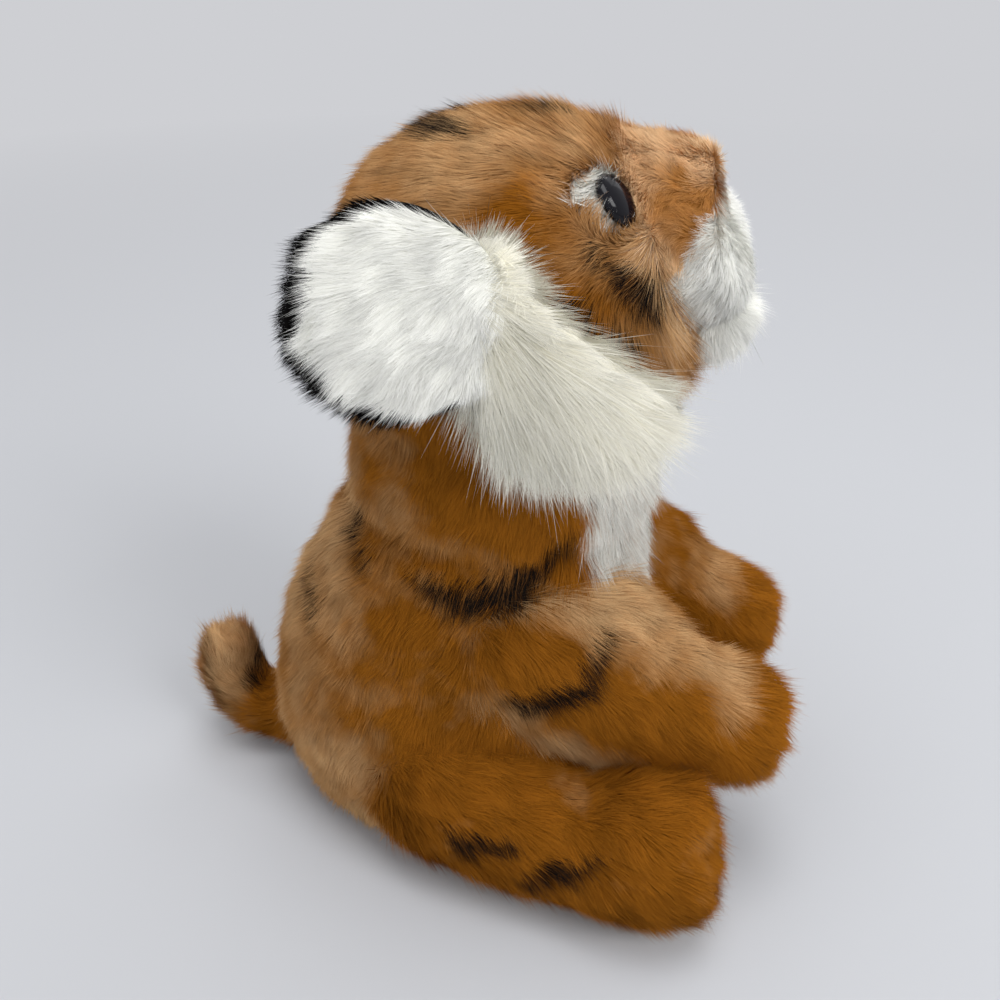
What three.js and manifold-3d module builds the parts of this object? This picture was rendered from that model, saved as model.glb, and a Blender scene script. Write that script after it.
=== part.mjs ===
// A stuffed toy tiger that sits upright and looks up, as an assembly of sewn and stuffed pieces.
// Millimetres. +Z is up, the tiger faces -Y, and its right side is at -X.
// The origin is the centre of the flat underside of the seat.

import * as THREE from "three";
import { mergeVertices } from "three/addons/utils/BufferGeometryUtils.js";
import Module from "manifold-3d";

const wasm = await Module();
wasm.setup();

// Clearances and cloth

const sewnGap = 0.3;
const noddingGap = 0.8;
const goldPileThickness = 7;
const stitchThickness = 1.6;
const cutOverrun = 5;

// Torso

const torsoHeight = 150;
const torsoWidth = 116;
const torsoDepth = 134;
const seatPanelThickness = 3;
const pelletBagHeight = 26;
const pelletBagWidth = 70;
const chestPanelWidth = 62;
const chestPanelHeight = 92;
const chestPanelBottomHeight = 44;

// Neck

const neckBallRadius = 50;
const neckBallHeight = 204;
const neckForward = 20;
const neckCollarWidth = 96;
const neckCollarHeight = 24;
const neckOpeningWidth = 52;
const nodRange = 8;

// Head

const headLength = 106;
const headWidth = 106;
const headHeight = 98;
const headPitch = 22;
const headCentreHeight = 206;
const headForward = 21;

// Muzzle, chin, nose and mouth

const muzzleLength = 27;
const muzzleWidth = 56;
const muzzleHeight = 56;
const muzzleDrop = 6;
const whiskerPadWidth = 31;
const whiskerPadHeight = 38;
const whiskerPadDepth = 34;
const chinWidth = 38;
const chinHeight = 25;
const chinDepth = 32;
const noseWidth = 17;
const noseHeight = 11;
const noseDepth = 10;

// Eyes

const eyeDiameter = 18;
const eyeDomeHeight = 6;
const eyeShankDiameter = 5;
const eyeShankLength = 12;
const eyeWasherDiameter = 14;
const eyeWasherThickness = 2.4;
const eyePatchDiameter = 26;
const eyePatchThickness = 2;

// Ears

const earLength = 62;
const earWidth = 63;
const earFrontThickness = 9;
const earBackThickness = 9;
const earRimWidth = 3;
const earFoldRange = 25;

// Cheek ruffs

const ruffLength = 92;
const ruffWidth = 44;
const ruffThickness = 17;

// Forelegs

const forelegReach = 92;
const forelegDrop = 31;
const shoulderRadius = 30;
const shoulderSpread = 62;
const shoulderHeight = 90;
const shoulderForward = 34;
const pawWidth = 45;
const forelegLiftRange = 25;

// Hind legs

const hindLegReach = 98;
const hipRadius = 30;
const hipSpread = 92;
const hipHeight = 30;
const hipForward = 8;
const footWidth = 52;
const footHeight = 64;
const hindLegSplayRange = 20;
const toeStitchSpread = 15;

// Tail

const tailLength = 52;
const tailThickness = 31;
const tailRootHeight = 22;
const tailRootRadius = 15.5;
const tailSwingRange = 15;
const tailTipLength = 15;

// Sewn openings through which the limbs are filled

const limbOpeningWidth = 26;
const tailOpeningWidth = 14;

// Fineness of the faceted surfaces

const largeSides = 20;
const limbSides = 12;
const smallSides = 10;
const threadSides = 4;
const innerSides = 8;
const innerRings = 4;
const sweepSteps = 6;

// Finishes, from the photograph

const finishes = {
  goldPile: { color: 0xb0703a, roughness: 0.95, metalness: 0 },
  tanPile: { color: 0xc08a58, roughness: 0.95, metalness: 0 },
  brownPile: { color: 0x9a5c30, roughness: 0.95, metalness: 0 },
  whitePile: { color: 0xe6e8ea, roughness: 0.95, metalness: 0 },
  ivoryPile: { color: 0xdcdcd0, roughness: 0.95, metalness: 0 },
  blackPile: { color: 0x1c1a1a, roughness: 0.95, metalness: 0 },
  fibre: { color: 0xf2f2ee, roughness: 1, metalness: 0 },
  pellets: { color: 0xd8d4c8, roughness: 0.8, metalness: 0 },
  eyePlastic: { color: 0x0c0a0a, roughness: 0.06, metalness: 0 },
  washerPlastic: { color: 0xd9d9d6, roughness: 0.5, metalness: 0 },
  noseFelt: { color: 0x8a5a4c, roughness: 0.8, metalness: 0 },
  darkThread: { color: 0x2a2220, roughness: 0.7, metalness: 0 },
  goldThread: { color: 0x8a5a30, roughness: 0.7, metalness: 0 },
};

// Solids

const half = 1 / 2;
const sideways = new THREE.Vector3(1, 0, 0);
const upward = new THREE.Vector3(0, 0, 1);

/** A solid from a closed geometry. */
function solidOf(geometry) {
  const bare = geometry.clone();
  bare.deleteAttribute("normal");
  bare.deleteAttribute("uv");
  const merged = mergeVertices(bare, sewnGap / 1000);
  return new wasm.Manifold(
    new wasm.Mesh({
      numProp: 3,
      vertProperties: new Float32Array(merged.attributes.position.array),
      triVerts: new Uint32Array(merged.index.array),
    }),
  );
}

/** The geometry of a solid. */
function geometryOf(solid) {
  const mesh = solid.getMesh();
  const geometry = new THREE.BufferGeometry();
  geometry.setAttribute("position", new THREE.BufferAttribute(new Float32Array(mesh.vertProperties), 3));
  geometry.setIndex(new THREE.BufferAttribute(new Uint32Array(mesh.triVerts), 1));
  geometry.computeVertexNormals();
  return geometry;
}

/** The same solid on the other side of the middle plane. */
function mirrored(solid) {
  const geometry = geometryOf(solid);
  geometry.scale(-1, 1, 1);
  const index = geometry.index.array;
  for (let i = 0; i < index.length; i += 3) {
    const kept = index[i + 1];
    index[i + 1] = index[i + 2];
    index[i + 2] = kept;
  }
  return solidOf(geometry);
}

function united(solids) {
  return solids.reduce((all, one) => all.add(one));
}

function onBothSides(solid) {
  return solid.add(mirrored(solid));
}

/** A point from how far it is to the tiger's right, forward and up. */
function place(right, forward, up) {
  return new THREE.Vector3(-right, -forward, up);
}

/**
 * A stuffed form that swells and tapers along a spine, closed by a rounded cap at each end.
 * Each station has a centre, a half width along the side direction and a half depth across it.
 * The inset pulls the whole surface in, and a negative one pushes it out.
 * The facets of one side mirror those of the other.
 */
function stuffedForm(spec, inset = 0) {
  const { stations, side, rootCap, tipCap } = spec;
  const inner = inset >= goldPileThickness;
  const sides = inner ? innerSides : spec.sides;
  const rings = inner ? innerRings : spec.rings;
  const capRings = inner ? 1 : spec.capRings;
  const spine = new THREE.CatmullRomCurve3(stations.map((s) => s.at));
  const girth = new THREE.CatmullRomCurve3(stations.map((s) => new THREE.Vector3(s.wide, s.deep, 0)));
  const points = [];
  const section = (t, beyond, shrink) => {
    const along = spine.getTangent(t).normalize();
    const wideAxis = side.clone().addScaledVector(along, -side.dot(along)).normalize();
    const deepAxis = new THREE.Vector3().crossVectors(along, wideAxis).normalize();
    const size = girth.getPoint(t);
    const centre = spine.getPoint(t).addScaledVector(along, beyond);
    for (let i = 0; i < sides; i += 1) {
      const angle = (2 * Math.PI * i) / sides;
      const across = Math.cos(angle) * (size.x - inset) * shrink;
      const through = Math.sin(angle) * (size.y - inset) * shrink;
      points.push(centre.clone().addScaledVector(wideAxis, across).addScaledVector(deepAxis, through));
    }
  };
  const rootWay = spine.getTangent(0).normalize();
  const tipWay = spine.getTangent(1).normalize();
  points.push(spine.getPoint(0).addScaledVector(rootWay, inset - rootCap));
  for (let i = 1; i <= capRings; i += 1) {
    const turn = (Math.PI / 2) * (i / (capRings + 1));
    section(0, (inset - rootCap) * Math.cos(turn), Math.sin(turn));
  }
  for (let i = 0; i <= rings; i += 1) {
    section(i / rings, 0, 1);
  }
  for (let i = capRings; i >= 1; i -= 1) {
    const turn = (Math.PI / 2) * (i / (capRings + 1));
    section(1, (tipCap - inset) * Math.cos(turn), Math.sin(turn));
  }
  points.push(spine.getPoint(1).addScaledVector(tipWay, tipCap - inset));
  const index = [];
  const sections = 2 * capRings + rings + 1;
  const at = (ring, i) => 1 + ring * sides + (i % sides);
  const last = points.length - 1;
  for (let i = 0; i < sides; i += 1) {
    index.push(0, at(0, i + 1), at(0, i));
    const farSide = Math.cos((2 * Math.PI * (i + half)) / sides) < 0;
    for (let ring = 0; ring + 1 < sections; ring += 1) {
      const [a, b] = [at(ring, i), at(ring, i + 1)];
      const [c, d] = [at(ring + 1, i + 1), at(ring + 1, i)];
      if (farSide) index.push(a, b, d, b, c, d);
      else index.push(a, b, c, a, c, d);
    }
    index.push(last, at(sections - 1, i), at(sections - 1, i + 1));
  }
  const geometry = new THREE.BufferGeometry();
  const flat = new Float32Array(points.flatMap((p) => [p.x, p.y, p.z]));
  geometry.setAttribute("position", new THREE.BufferAttribute(flat, 3));
  geometry.setIndex(index);
  return solidOf(geometry);
}

/** A ball whose poles lie on an axis. */
function ball(centre, radius, sides, axis) {
  const geometry = new THREE.SphereGeometry(radius, sides, Math.round(sides * half));
  const standing = new THREE.Vector3(0, 1, 0);
  geometry.applyQuaternion(new THREE.Quaternion().setFromUnitVectors(standing, axis));
  geometry.translate(centre.x, centre.y, centre.z);
  return solidOf(geometry);
}

/** How far the flats of a faceted ball reach, as a share of its radius. */
function flatShare(sides) {
  return Math.cos(Math.PI / sides);
}

/** The space in which a ball turns about its poles, whose flats clear the corners of the ball. */
function ballSeat(centre, radius, sides, axis) {
  return ball(centre, (radius + sewnGap) / flatShare(sides), sides, axis);
}

/** A round rod between two points. */
function rod(from, to, radius, sides = smallSides) {
  const along = to.clone().sub(from);
  const geometry = new THREE.CylinderGeometry(radius, radius, along.length(), sides);
  const standing = new THREE.Vector3(0, 1, 0);
  geometry.applyQuaternion(new THREE.Quaternion().setFromUnitVectors(standing, along.normalize()));
  const middle = from.clone().add(to).multiplyScalar(half);
  geometry.translate(middle.x, middle.y, middle.z);
  return solidOf(geometry);
}

/** A cushion of three half sizes along three directions. */
function cushion(centre, ways, sizes, sides) {
  const geometry = new THREE.SphereGeometry(1, sides, Math.round(sides * half));
  const turn = new THREE.Matrix4().makeBasis(
    ways[0].clone().multiplyScalar(sizes[0]),
    ways[1].clone().multiplyScalar(sizes[1]),
    ways[2].clone().multiplyScalar(sizes[2]),
  );
  geometry.applyMatrix4(turn);
  geometry.translate(centre.x, centre.y, centre.z);
  return solidOf(geometry);
}

const wholeReach = 2 * (torsoHeight + headLength + headHeight);

/** All the space between two heights. */
function layer(low, high) {
  const geometry = new THREE.BoxGeometry(wholeReach, wholeReach, high - low);
  geometry.translate(0, 0, (low + high) * half);
  return solidOf(geometry);
}

/** A solid turned about a line through a point. */
function turned(solid, pivot, axis, degrees) {
  const geometry = geometryOf(solid);
  const turn = new THREE.Quaternion().setFromAxisAngle(axis, THREE.MathUtils.degToRad(degrees));
  geometry.translate(-pivot.x, -pivot.y, -pivot.z);
  geometry.applyQuaternion(turn);
  geometry.translate(pivot.x, pivot.y, pivot.z);
  return solidOf(geometry);
}

/** The space that a solid takes as it turns about a line from one angle to another. */
function swept(solid, pivot, axis, fromDegrees, toDegrees, steps) {
  const copies = [];
  for (let i = 0; i <= steps; i += 1) {
    copies.push(turned(solid, pivot, axis, fromDegrees + ((toDegrees - fromDegrees) * i) / steps));
  }
  return united(copies);
}

/** A thread along a row of points. */
function threadAlong(points, radius) {
  const corners = [];
  for (let i = 0; i < threadSides; i += 1) {
    const angle = (2 * Math.PI * i) / threadSides;
    corners.push(new THREE.Vector2(radius * Math.cos(angle), radius * Math.sin(angle)));
  }
  const geometry = new THREE.ExtrudeGeometry(new THREE.Shape(corners), {
    steps: points.length,
    bevelEnabled: false,
    extrudePath: new THREE.CatmullRomCurve3(points),
  });
  return solidOf(geometry);
}


// Nothing reaches below the surface that the tiger sits on.

const ground = layer(-wholeReach, 0);

// Torso form: rows of up, forward, half width and half depth, as shares of its height, depth and width

const torsoShares = [
  [-0.05, -0.012, 0.39, 0.4],
  [0.1, -0.01, 0.465, 0.465],
  [0.27, -0.008, 0.505, 0.5],
  [0.43, 0.024, 0.5, 0.492],
  [0.6, 0.08, 0.47, 0.45],
  [0.78, 0.135, 0.425, 0.405],
  [0.93, 0.145, 0.385, 0.372],
  [1.06, 0.148, 0.36, 0.345],
];

const torsoSpec = {
  stations: torsoShares.map(([up, forward, wide, deep]) => ({
    at: place(0, forward * torsoDepth, up * torsoHeight),
    wide: wide * torsoWidth,
    deep: deep * torsoDepth,
  })),
  side: sideways,
  sides: largeSides,
  rings: 9,
  rootCap: goldPileThickness + cutOverrun,
  tipCap: goldPileThickness + cutOverrun,
  capRings: 1,
};

const aboveTorso = layer(torsoHeight, wholeReach);
const torsoOuter = stuffedForm(torsoSpec).subtract(aboveTorso).subtract(ground);
const torsoPassed = stuffedForm(torsoSpec, -sewnGap).subtract(aboveTorso);

// Joint centres, on the tiger's right side where there are two

const neckPivot = place(0, neckForward, neckBallHeight);
const shoulderPivot = place(shoulderSpread * half, shoulderForward, shoulderHeight);
const hipPivot = place(hipSpread * half, hipForward, hipHeight);
const tailRootShare = -0.41;
const tailPivot = place(0, tailRootShare * torsoDepth, tailRootHeight);

// A limb's form starts a little inside the ball at its root.

const rootWaistShare = 0.93;

// Hind legs: rows of outward, forward and up places, then half width and half height
// The foot stands upright, so it is taller than the leg behind it.

const hindLegShares = [
  [0, 0, 0, 0.5, 0.5],
  [0.1, 0.25, -0.12, 0.56, 0.43],
  [0.22, 0.48, -0.14, 0.52, 0.41],
  [0.34, 0.7, -0.02, 0.52, 0.48],
  [0.36, 0.82, 0.02, 0.48, 0.47],
];
const footCapShare = 0.3;

const hindLegSpec = {
  stations: hindLegShares.map(([outward, forward, up, wide, deep], row) => ({
    at: hipPivot.clone().add(place(outward * hipSpread * half, forward * hindLegReach, up * hipHeight)),
    wide: row === 0 ? rootWaistShare * hipRadius : wide * footWidth,
    deep: row === 0 ? rootWaistShare * hipRadius : deep * footHeight,
  })),
  side: sideways,
  sides: limbSides,
  rings: 7,
  rootCap: rootWaistShare * hipRadius,
  tipCap: footCapShare * footWidth,
  capRings: 2,
};

// Forelegs: rows of inward, forward and down places, then half width and half depth

const forelegShares = [
  [0, 0, 0, 0.66, 0.66],
  [-0.04, 0.18, 0.26, 0.62, 0.78],
  [-0.03, 0.38, 0.6, 0.57, 0.76],
  [0.01, 0.58, 0.82, 0.52, 0.6],
  [0.06, 0.77, 1, 0.5, 0.54],
];
const pawCapShare = 0.42;

const forelegSpec = {
  stations: forelegShares.map(([inward, forward, down, wide, deep], row) => ({
    at: shoulderPivot
      .clone()
      .add(place(-inward * shoulderSpread * half, forward * forelegReach, -down * forelegDrop)),
    wide: row === 0 ? rootWaistShare * shoulderRadius : wide * pawWidth,
    deep: row === 0 ? rootWaistShare * shoulderRadius : deep * pawWidth,
  })),
  side: sideways,
  sides: limbSides,
  rings: 7,
  rootCap: rootWaistShare * shoulderRadius,
  tipCap: pawCapShare * pawWidth,
  capRings: 2,
};

/**
 * A limb with a ball at its root, cut clear of what it moves past.
 * It is a pile skin with a sewn opening on its inner side, and the filling inside it.
 */
function limbSolids(spec, pivot, axis, rootRadius, passed) {
  const rootBall = ball(pivot, rootRadius, limbSides, axis);
  const outer = stuffedForm(spec).subtract(passed).add(rootBall).subtract(ground);
  const reach = pivot.clone().add(place(-(rootRadius + cutOverrun), 0, 0));
  const opening = rod(pivot, reach, limbOpeningWidth * half);
  const openingFill = rod(pivot, reach, limbOpeningWidth * half - sewnGap);
  const hollow = stuffedForm(spec, goldPileThickness).add(opening);
  const filled = stuffedForm(spec, goldPileThickness + sewnGap);
  return {
    outer,
    skin: outer.subtract(hollow),
    filling: filled.add(openingFill.intersect(rootBall)).intersect(outer),
  };
}

/** Threads pulled tight over the end of a paw, one on each side of its middle toe. */
const toeThreadFrom = -35;
const toeThreadTo = 55;
const toeThreadSteps = 3;
function toeThreads(spec) {
  const end = spec.stations[spec.stations.length - 1];
  const before = spec.stations[spec.stations.length - 2];
  const along = end.at.clone().sub(before.at).normalize();
  const wideAxis = sideways.clone().addScaledVector(along, -sideways.dot(along)).normalize();
  const deepAxis = new THREE.Vector3().crossVectors(along, wideAxis).normalize();
  const across = toeStitchSpread * half;
  const shrink = Math.sqrt(1 - (across / end.wide) ** 2);
  return [-1, 1].map((way) => {
    const points = [];
    for (let i = 0; i <= toeThreadSteps; i += 1) {
      const degrees = toeThreadFrom + ((toeThreadTo - toeThreadFrom) * i) / toeThreadSteps;
      const angle = THREE.MathUtils.degToRad(degrees);
      points.push(
        end.at
          .clone()
          .addScaledVector(wideAxis, way * across)
          .addScaledVector(deepAxis, -Math.sin(angle) * end.deep * shrink)
          .addScaledVector(along, Math.cos(angle) * spec.tipCap * shrink),
      );
    }
    return {
      thread: threadAlong(points, stitchThickness * half),
      groove: threadAlong(points, stitchThickness * half + sewnGap),
    };
  });
}

const torsoPastHindLeg = swept(torsoPassed, hipPivot, upward, 0, hindLegSplayRange, 2);
const hindLeg = limbSolids(hindLegSpec, hipPivot, upward, hipRadius, torsoPastHindLeg);
const hindLegPassed = stuffedForm(hindLegSpec, -sewnGap);
const hindLegSwept = swept(hindLegPassed, hipPivot, upward, -hindLegSplayRange, 0, 1);
const torsoPastForeleg = swept(torsoPassed, shoulderPivot, sideways, 0, forelegLiftRange, 2);
const forelegPassing = torsoPastForeleg.add(hindLegSwept);
const foreleg = limbSolids(forelegSpec, shoulderPivot, sideways, shoulderRadius, forelegPassing);
const forelegThreads = toeThreads(forelegSpec);
const hindLegThreads = toeThreads(hindLegSpec);
const forelegSkin = foreleg.skin.subtract(united(forelegThreads.map((t) => t.groove)));
const hindLegSkin = hindLeg.skin.subtract(united(hindLegThreads.map((t) => t.groove)));

// Tail: a short stub that curls up, as rows of back and up places, then half width and half depth

const tailShares = [
  [0, 0, 0.5, 0.5],
  [0.26, -0.12, 0.5, 0.5],
  [0.5, -0.06, 0.5, 0.49],
  [0.64, 0.14, 0.49, 0.48],
  [0.68, 0.36, 0.45, 0.44],
];
const tailCapShare = 0.36;

const tailSpec = {
  stations: tailShares.map(([back, up, wide, deep], row) => ({
    at: tailPivot.clone().add(place(0, -back * tailLength, up * tailLength)),
    wide: row === 0 ? rootWaistShare * tailRootRadius : wide * tailThickness,
    deep: row === 0 ? rootWaistShare * tailRootRadius : deep * tailThickness,
  })),
  side: sideways,
  sides: smallSides,
  rings: 6,
  rootCap: rootWaistShare * tailRootRadius,
  tipCap: tailCapShare * tailThickness,
  capRings: 2,
};

const tailRootBall = ball(tailPivot, tailRootRadius, smallSides, upward);
const torsoPastTail = swept(torsoPassed, tailPivot, upward, -tailSwingRange, tailSwingRange, 2);
const tailOuter = stuffedForm(tailSpec).subtract(torsoPastTail).add(tailRootBall).subtract(ground);
const tailInward = tailPivot.clone().add(place(0, tailRootRadius + cutOverrun, 0));
const tailOpening = rod(tailPivot, tailInward, tailOpeningWidth * half);
const tailOpeningFill = rod(tailPivot, tailInward, tailOpeningWidth * half - sewnGap);
const tailEnd = tailSpec.stations[tailSpec.stations.length - 1].at;
const tailBend = tailSpec.stations[tailSpec.stations.length - 2].at;
const tailWay = tailEnd.clone().sub(tailBend).normalize();
const tailSeam = tailEnd.clone().addScaledVector(tailWay, tailSpec.tipCap - tailTipLength);
const tailTipEnd = tailSeam.clone().addScaledVector(tailWay, tailTipLength + cutOverrun);
function tailTipSpace(margin) {
  const from = tailSeam.clone().addScaledVector(tailWay, -margin);
  return rod(from, tailTipEnd, tailThickness);
}
const tailShell = tailOuter.subtract(stuffedForm(tailSpec, goldPileThickness).add(tailOpening));
const tailSkin = tailShell.subtract(tailTipSpace(sewnGap));
const tailTip = tailShell.intersect(tailTipSpace(0));
const tailFilling = stuffedForm(tailSpec, goldPileThickness + sewnGap)
  .add(tailOpeningFill.intersect(tailRootBall))
  .intersect(tailOuter);

// Torso pieces

const limbSeats = united([
  onBothSides(ballSeat(shoulderPivot, shoulderRadius, limbSides, sideways)),
  onBothSides(ballSeat(hipPivot, hipRadius, limbSides, upward)),
  ballSeat(tailPivot, tailRootRadius, smallSides, upward),
]);
const torsoShell = torsoOuter.subtract(limbSeats).subtract(stuffedForm(torsoSpec, goldPileThickness));
const torsoInside = stuffedForm(torsoSpec, goldPileThickness + sewnGap)
  .subtract(aboveTorso)
  .subtract(ground)
  .subtract(limbSeats);

const chestMiddleHeight = chestPanelBottomHeight + chestPanelHeight * half;
const chestCorners = 9;
function chestSpace(margin) {
  const outline = new THREE.Shape();
  const halfWidth = chestPanelWidth * half + margin;
  const halfHeight = chestPanelHeight * half + margin;
  outline.absellipse(0, 0, halfWidth, halfHeight, 0, 2 * Math.PI, false, 0);
  const geometry = new THREE.ExtrudeGeometry(outline, {
    depth: torsoDepth,
    bevelEnabled: false,
    curveSegments: chestCorners,
  });
  geometry.rotateX(Math.PI / 2);
  geometry.translate(0, -neckForward, chestMiddleHeight);
  return solidOf(geometry);
}
const torsoSkin = torsoShell.subtract(chestSpace(sewnGap));
const chestPanel = torsoShell.intersect(chestSpace(0));
const seatPanel = torsoInside.subtract(layer(seatPanelThickness, wholeReach));

const bagFloor = seatPanelThickness + sewnGap;
const pelletBagShares = [
  [0.2, 0.42],
  [0.5, 0.5],
  [0.8, 0.44],
];
const pelletBagSpec = {
  stations: pelletBagShares.map(([up, wide]) => ({
    at: place(0, 0, bagFloor + up * pelletBagHeight),
    wide: wide * pelletBagWidth,
    deep: wide * pelletBagWidth,
  })),
  side: sideways,
  sides: smallSides,
  rings: 3,
  rootCap: pelletBagShares[0][0] * pelletBagHeight,
  tipCap: (1 - pelletBagShares[2][0]) * pelletBagHeight,
  capRings: 1,
};
const belowFilling = layer(-wholeReach, bagFloor);
const torsoFilling = torsoInside.subtract(belowFilling).subtract(stuffedForm(pelletBagSpec, -sewnGap));
const pelletBag = stuffedForm(pelletBagSpec).subtract(limbSeats).subtract(belowFilling);

// Head form, in a frame that is pitched up

const headCentre = place(0, headForward, headCentreHeight);
const headTurn = THREE.MathUtils.degToRad(headPitch);

/** A point of the head from how far it is to the right, forward and up in the pitched head. */
function headPlace(right, forward, up) {
  const level = forward * Math.cos(headTurn) - up * Math.sin(headTurn);
  const rise = forward * Math.sin(headTurn) + up * Math.cos(headTurn);
  return headCentre.clone().add(place(right, level, rise));
}
const headForwardWay = headPlace(0, 1, 0).sub(headCentre);
const headUpWay = headPlace(0, 0, 1).sub(headCentre);
const headWays = [place(1, 0, 0), headForwardWay, headUpWay];

const skullShares = [
  [-0.36, -0.02, 0.37, 0.36],
  [-0.2, 0, 0.465, 0.475],
  [-0.03, 0, 0.505, 0.505],
  [0.14, -0.02, 0.49, 0.465],
  [0.28, -0.075, 0.43, 0.385],
  [0.37, -0.11, 0.34, 0.3],
];
const skullBackCapShare = 0.15;
const skullFrontCapShare = 0.09;

const skullSpec = {
  stations: skullShares.map(([forward, up, wide, deep]) => ({
    at: headPlace(0, forward * headLength, up * headHeight),
    wide: wide * headWidth,
    deep: deep * headHeight,
  })),
  side: sideways,
  sides: largeSides,
  rings: 8,
  rootCap: skullBackCapShare * headLength,
  tipCap: skullFrontCapShare * headLength,
  capRings: 2,
};

const aboveNeckPivot = layer(neckBallHeight, wholeReach);
const neckBall = ball(neckPivot, neckBallRadius, largeSides, sideways).subtract(aboveNeckPivot);
const neckSeat = ballSeat(neckPivot, neckBallRadius, largeSides, sideways).subtract(aboveNeckPivot);
const headOuter = stuffedForm(skullSpec).add(neckBall);
const skullPassed = stuffedForm(skullSpec, -sewnGap);
const headPassed = skullPassed.add(neckSeat);

const neckBottom = place(0, neckForward, torsoHeight + sewnGap);
const headOpening = rod(neckBottom, neckPivot, neckOpeningWidth * half, largeSides);
const headOpeningFill = rod(neckBottom, neckPivot, neckOpeningWidth * half - sewnGap, largeSides);

// Neck collar, on which the head nods and which turns on the torso

const collarTop = neckBottom.clone().addScaledVector(upward, neckCollarHeight);
const collarRod = rod(neckBottom, collarTop, neckCollarWidth * half, largeSides).subtract(neckSeat);
const skullWithRoom = stuffedForm(skullSpec, -noddingGap);
const noddingSkull = swept(skullWithRoom, neckPivot, sideways, -nodRange, nodRange, 2);
const collar = collarRod.subtract(noddingSkull).subtract(headOpening);
const neckFilling = collarRod.subtract(noddingSkull).intersect(headOpeningFill);
const collarPassed = rod(neckBottom, neckPivot, neckCollarWidth * half + sewnGap, largeSides);

// Muzzle: the brown top and sides

const muzzleShares = [
  [-0.4, 0.05, 0.52, 0.52],
  [0.2, 0, 0.5, 0.5],
  [0.62, -0.06, 0.45, 0.43],
];
const muzzleCapShare = 0.18;
const muzzleRootShare = 0.42;
const muzzleRoot = muzzleRootShare * headLength;
const muzzleSpec = {
  stations: muzzleShares.map(([forward, up, wide, deep]) => ({
    at: headPlace(0, muzzleRoot + forward * muzzleLength, up * muzzleHeight - muzzleDrop),
    wide: wide * muzzleWidth,
    deep: deep * muzzleHeight,
  })),
  side: sideways,
  sides: limbSides,
  rings: 3,
  rootCap: muzzleCapShare * muzzleLength,
  tipCap: muzzleCapShare * muzzleLength,
  capRings: 2,
};
const muzzleFront = muzzleRoot + muzzleLength * (muzzleShares[2][0] + muzzleCapShare);
const muzzlePassed = stuffedForm(muzzleSpec, -sewnGap);

// Whisker pads, chin and nose, on the front of the muzzle

const padSpreadShare = 0.38;
const padDropShare = 0.24;
const padSinkShare = 0.36;
function whiskerPad(margin) {
  const centre = headPlace(
    padSpreadShare * whiskerPadWidth,
    muzzleFront - padSinkShare * whiskerPadDepth,
    -muzzleDrop - padDropShare * whiskerPadHeight,
  );
  const sizes = [
    whiskerPadWidth * half + margin,
    whiskerPadDepth * half + margin,
    whiskerPadHeight * half + margin,
  ];
  return cushion(centre, headWays, sizes, smallSides);
}
const leftOfMiddle = new THREE.BoxGeometry(wholeReach, wholeReach, wholeReach);
leftOfMiddle.translate((wholeReach - sewnGap) * half, 0, 0);
const rightHalfOnly = solidOf(leftOfMiddle);

const chinDropShare = 0.8;
const chinSinkShare = 0.46;
function chinForm(margin) {
  const centre = headPlace(
    0,
    muzzleFront - chinSinkShare * chinDepth,
    -muzzleDrop - padDropShare * whiskerPadHeight - chinDropShare * chinHeight,
  );
  const sizes = [chinWidth * half + margin, chinDepth * half + margin, chinHeight * half + margin];
  return cushion(centre, headWays, sizes, smallSides);
}

const noseRiseShare = 0.2;
const noseSinkShare = -0.22;
function noseForm(margin) {
  const centre = headPlace(
    0,
    muzzleFront - noseSinkShare * noseDepth,
    noseRiseShare * muzzleHeight - muzzleDrop,
  );
  const sizes = [noseWidth * half + margin, noseDepth * half + margin, noseHeight * half + margin];
  return cushion(centre, headWays, sizes, smallSides);
}

const mouthShares = [
  [0.02, 0.03],
  [0.02, -0.12],
  [-0.1, -0.3],
];
const mouthPoints = mouthShares.map(([forward, up]) =>
  headPlace(0, muzzleFront + forward * noseDepth, up * muzzleHeight - muzzleDrop),
);
const mouthThread = threadAlong(mouthPoints, stitchThickness * half);
const mouthGroove = threadAlong(mouthPoints, stitchThickness * half + sewnGap);

const nose = noseForm(0).subtract(muzzlePassed).subtract(headPassed);
const noseSpace = noseForm(sewnGap);
const padPassed = onBothSides(whiskerPad(sewnGap));
const padRight = whiskerPad(0)
  .subtract(rightHalfOnly)
  .subtract(headPassed)
  .subtract(noseSpace)
  .subtract(mouthGroove);
const chin = chinForm(0).subtract(padPassed).subtract(muzzlePassed).subtract(headPassed);
const mouth = mouthThread.subtract(noseSpace);
const muzzle = stuffedForm(muzzleSpec).subtract(headPassed).subtract(padPassed).subtract(mouthGroove);

// Eyes: a domed button on a shank, held by a washer behind the cloth, over a white patch

const eyeShares = [0.27, 0.385, 0.145];
const eyeWayShares = [0.46, 0.83, 0.32];
const eyeWay = headPlace(eyeWayShares[0], eyeWayShares[1], eyeWayShares[2]).sub(headCentre).normalize();
const eyeCentre = headPlace(
  eyeShares[0] * headWidth,
  eyeShares[1] * headLength,
  eyeShares[2] * headHeight,
);
const eyeRing = sideways.clone().addScaledVector(eyeWay, -sideways.dot(eyeWay)).normalize();
const eyeWays = [eyeRing, new THREE.Vector3().crossVectors(eyeWay, eyeRing), eyeWay];
const eyeInner = eyeCentre.clone().addScaledVector(eyeWay, -eyeShankLength);
function eyeForm(margin) {
  const across = eyeDiameter * half + margin;
  const dome = cushion(eyeCentre, eyeWays, [across, across, eyeDomeHeight + margin], limbSides);
  const end = eyeInner.clone().addScaledVector(eyeWay, -margin);
  return dome.add(rod(end, eyeCentre, eyeShankDiameter * half + margin));
}
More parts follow.
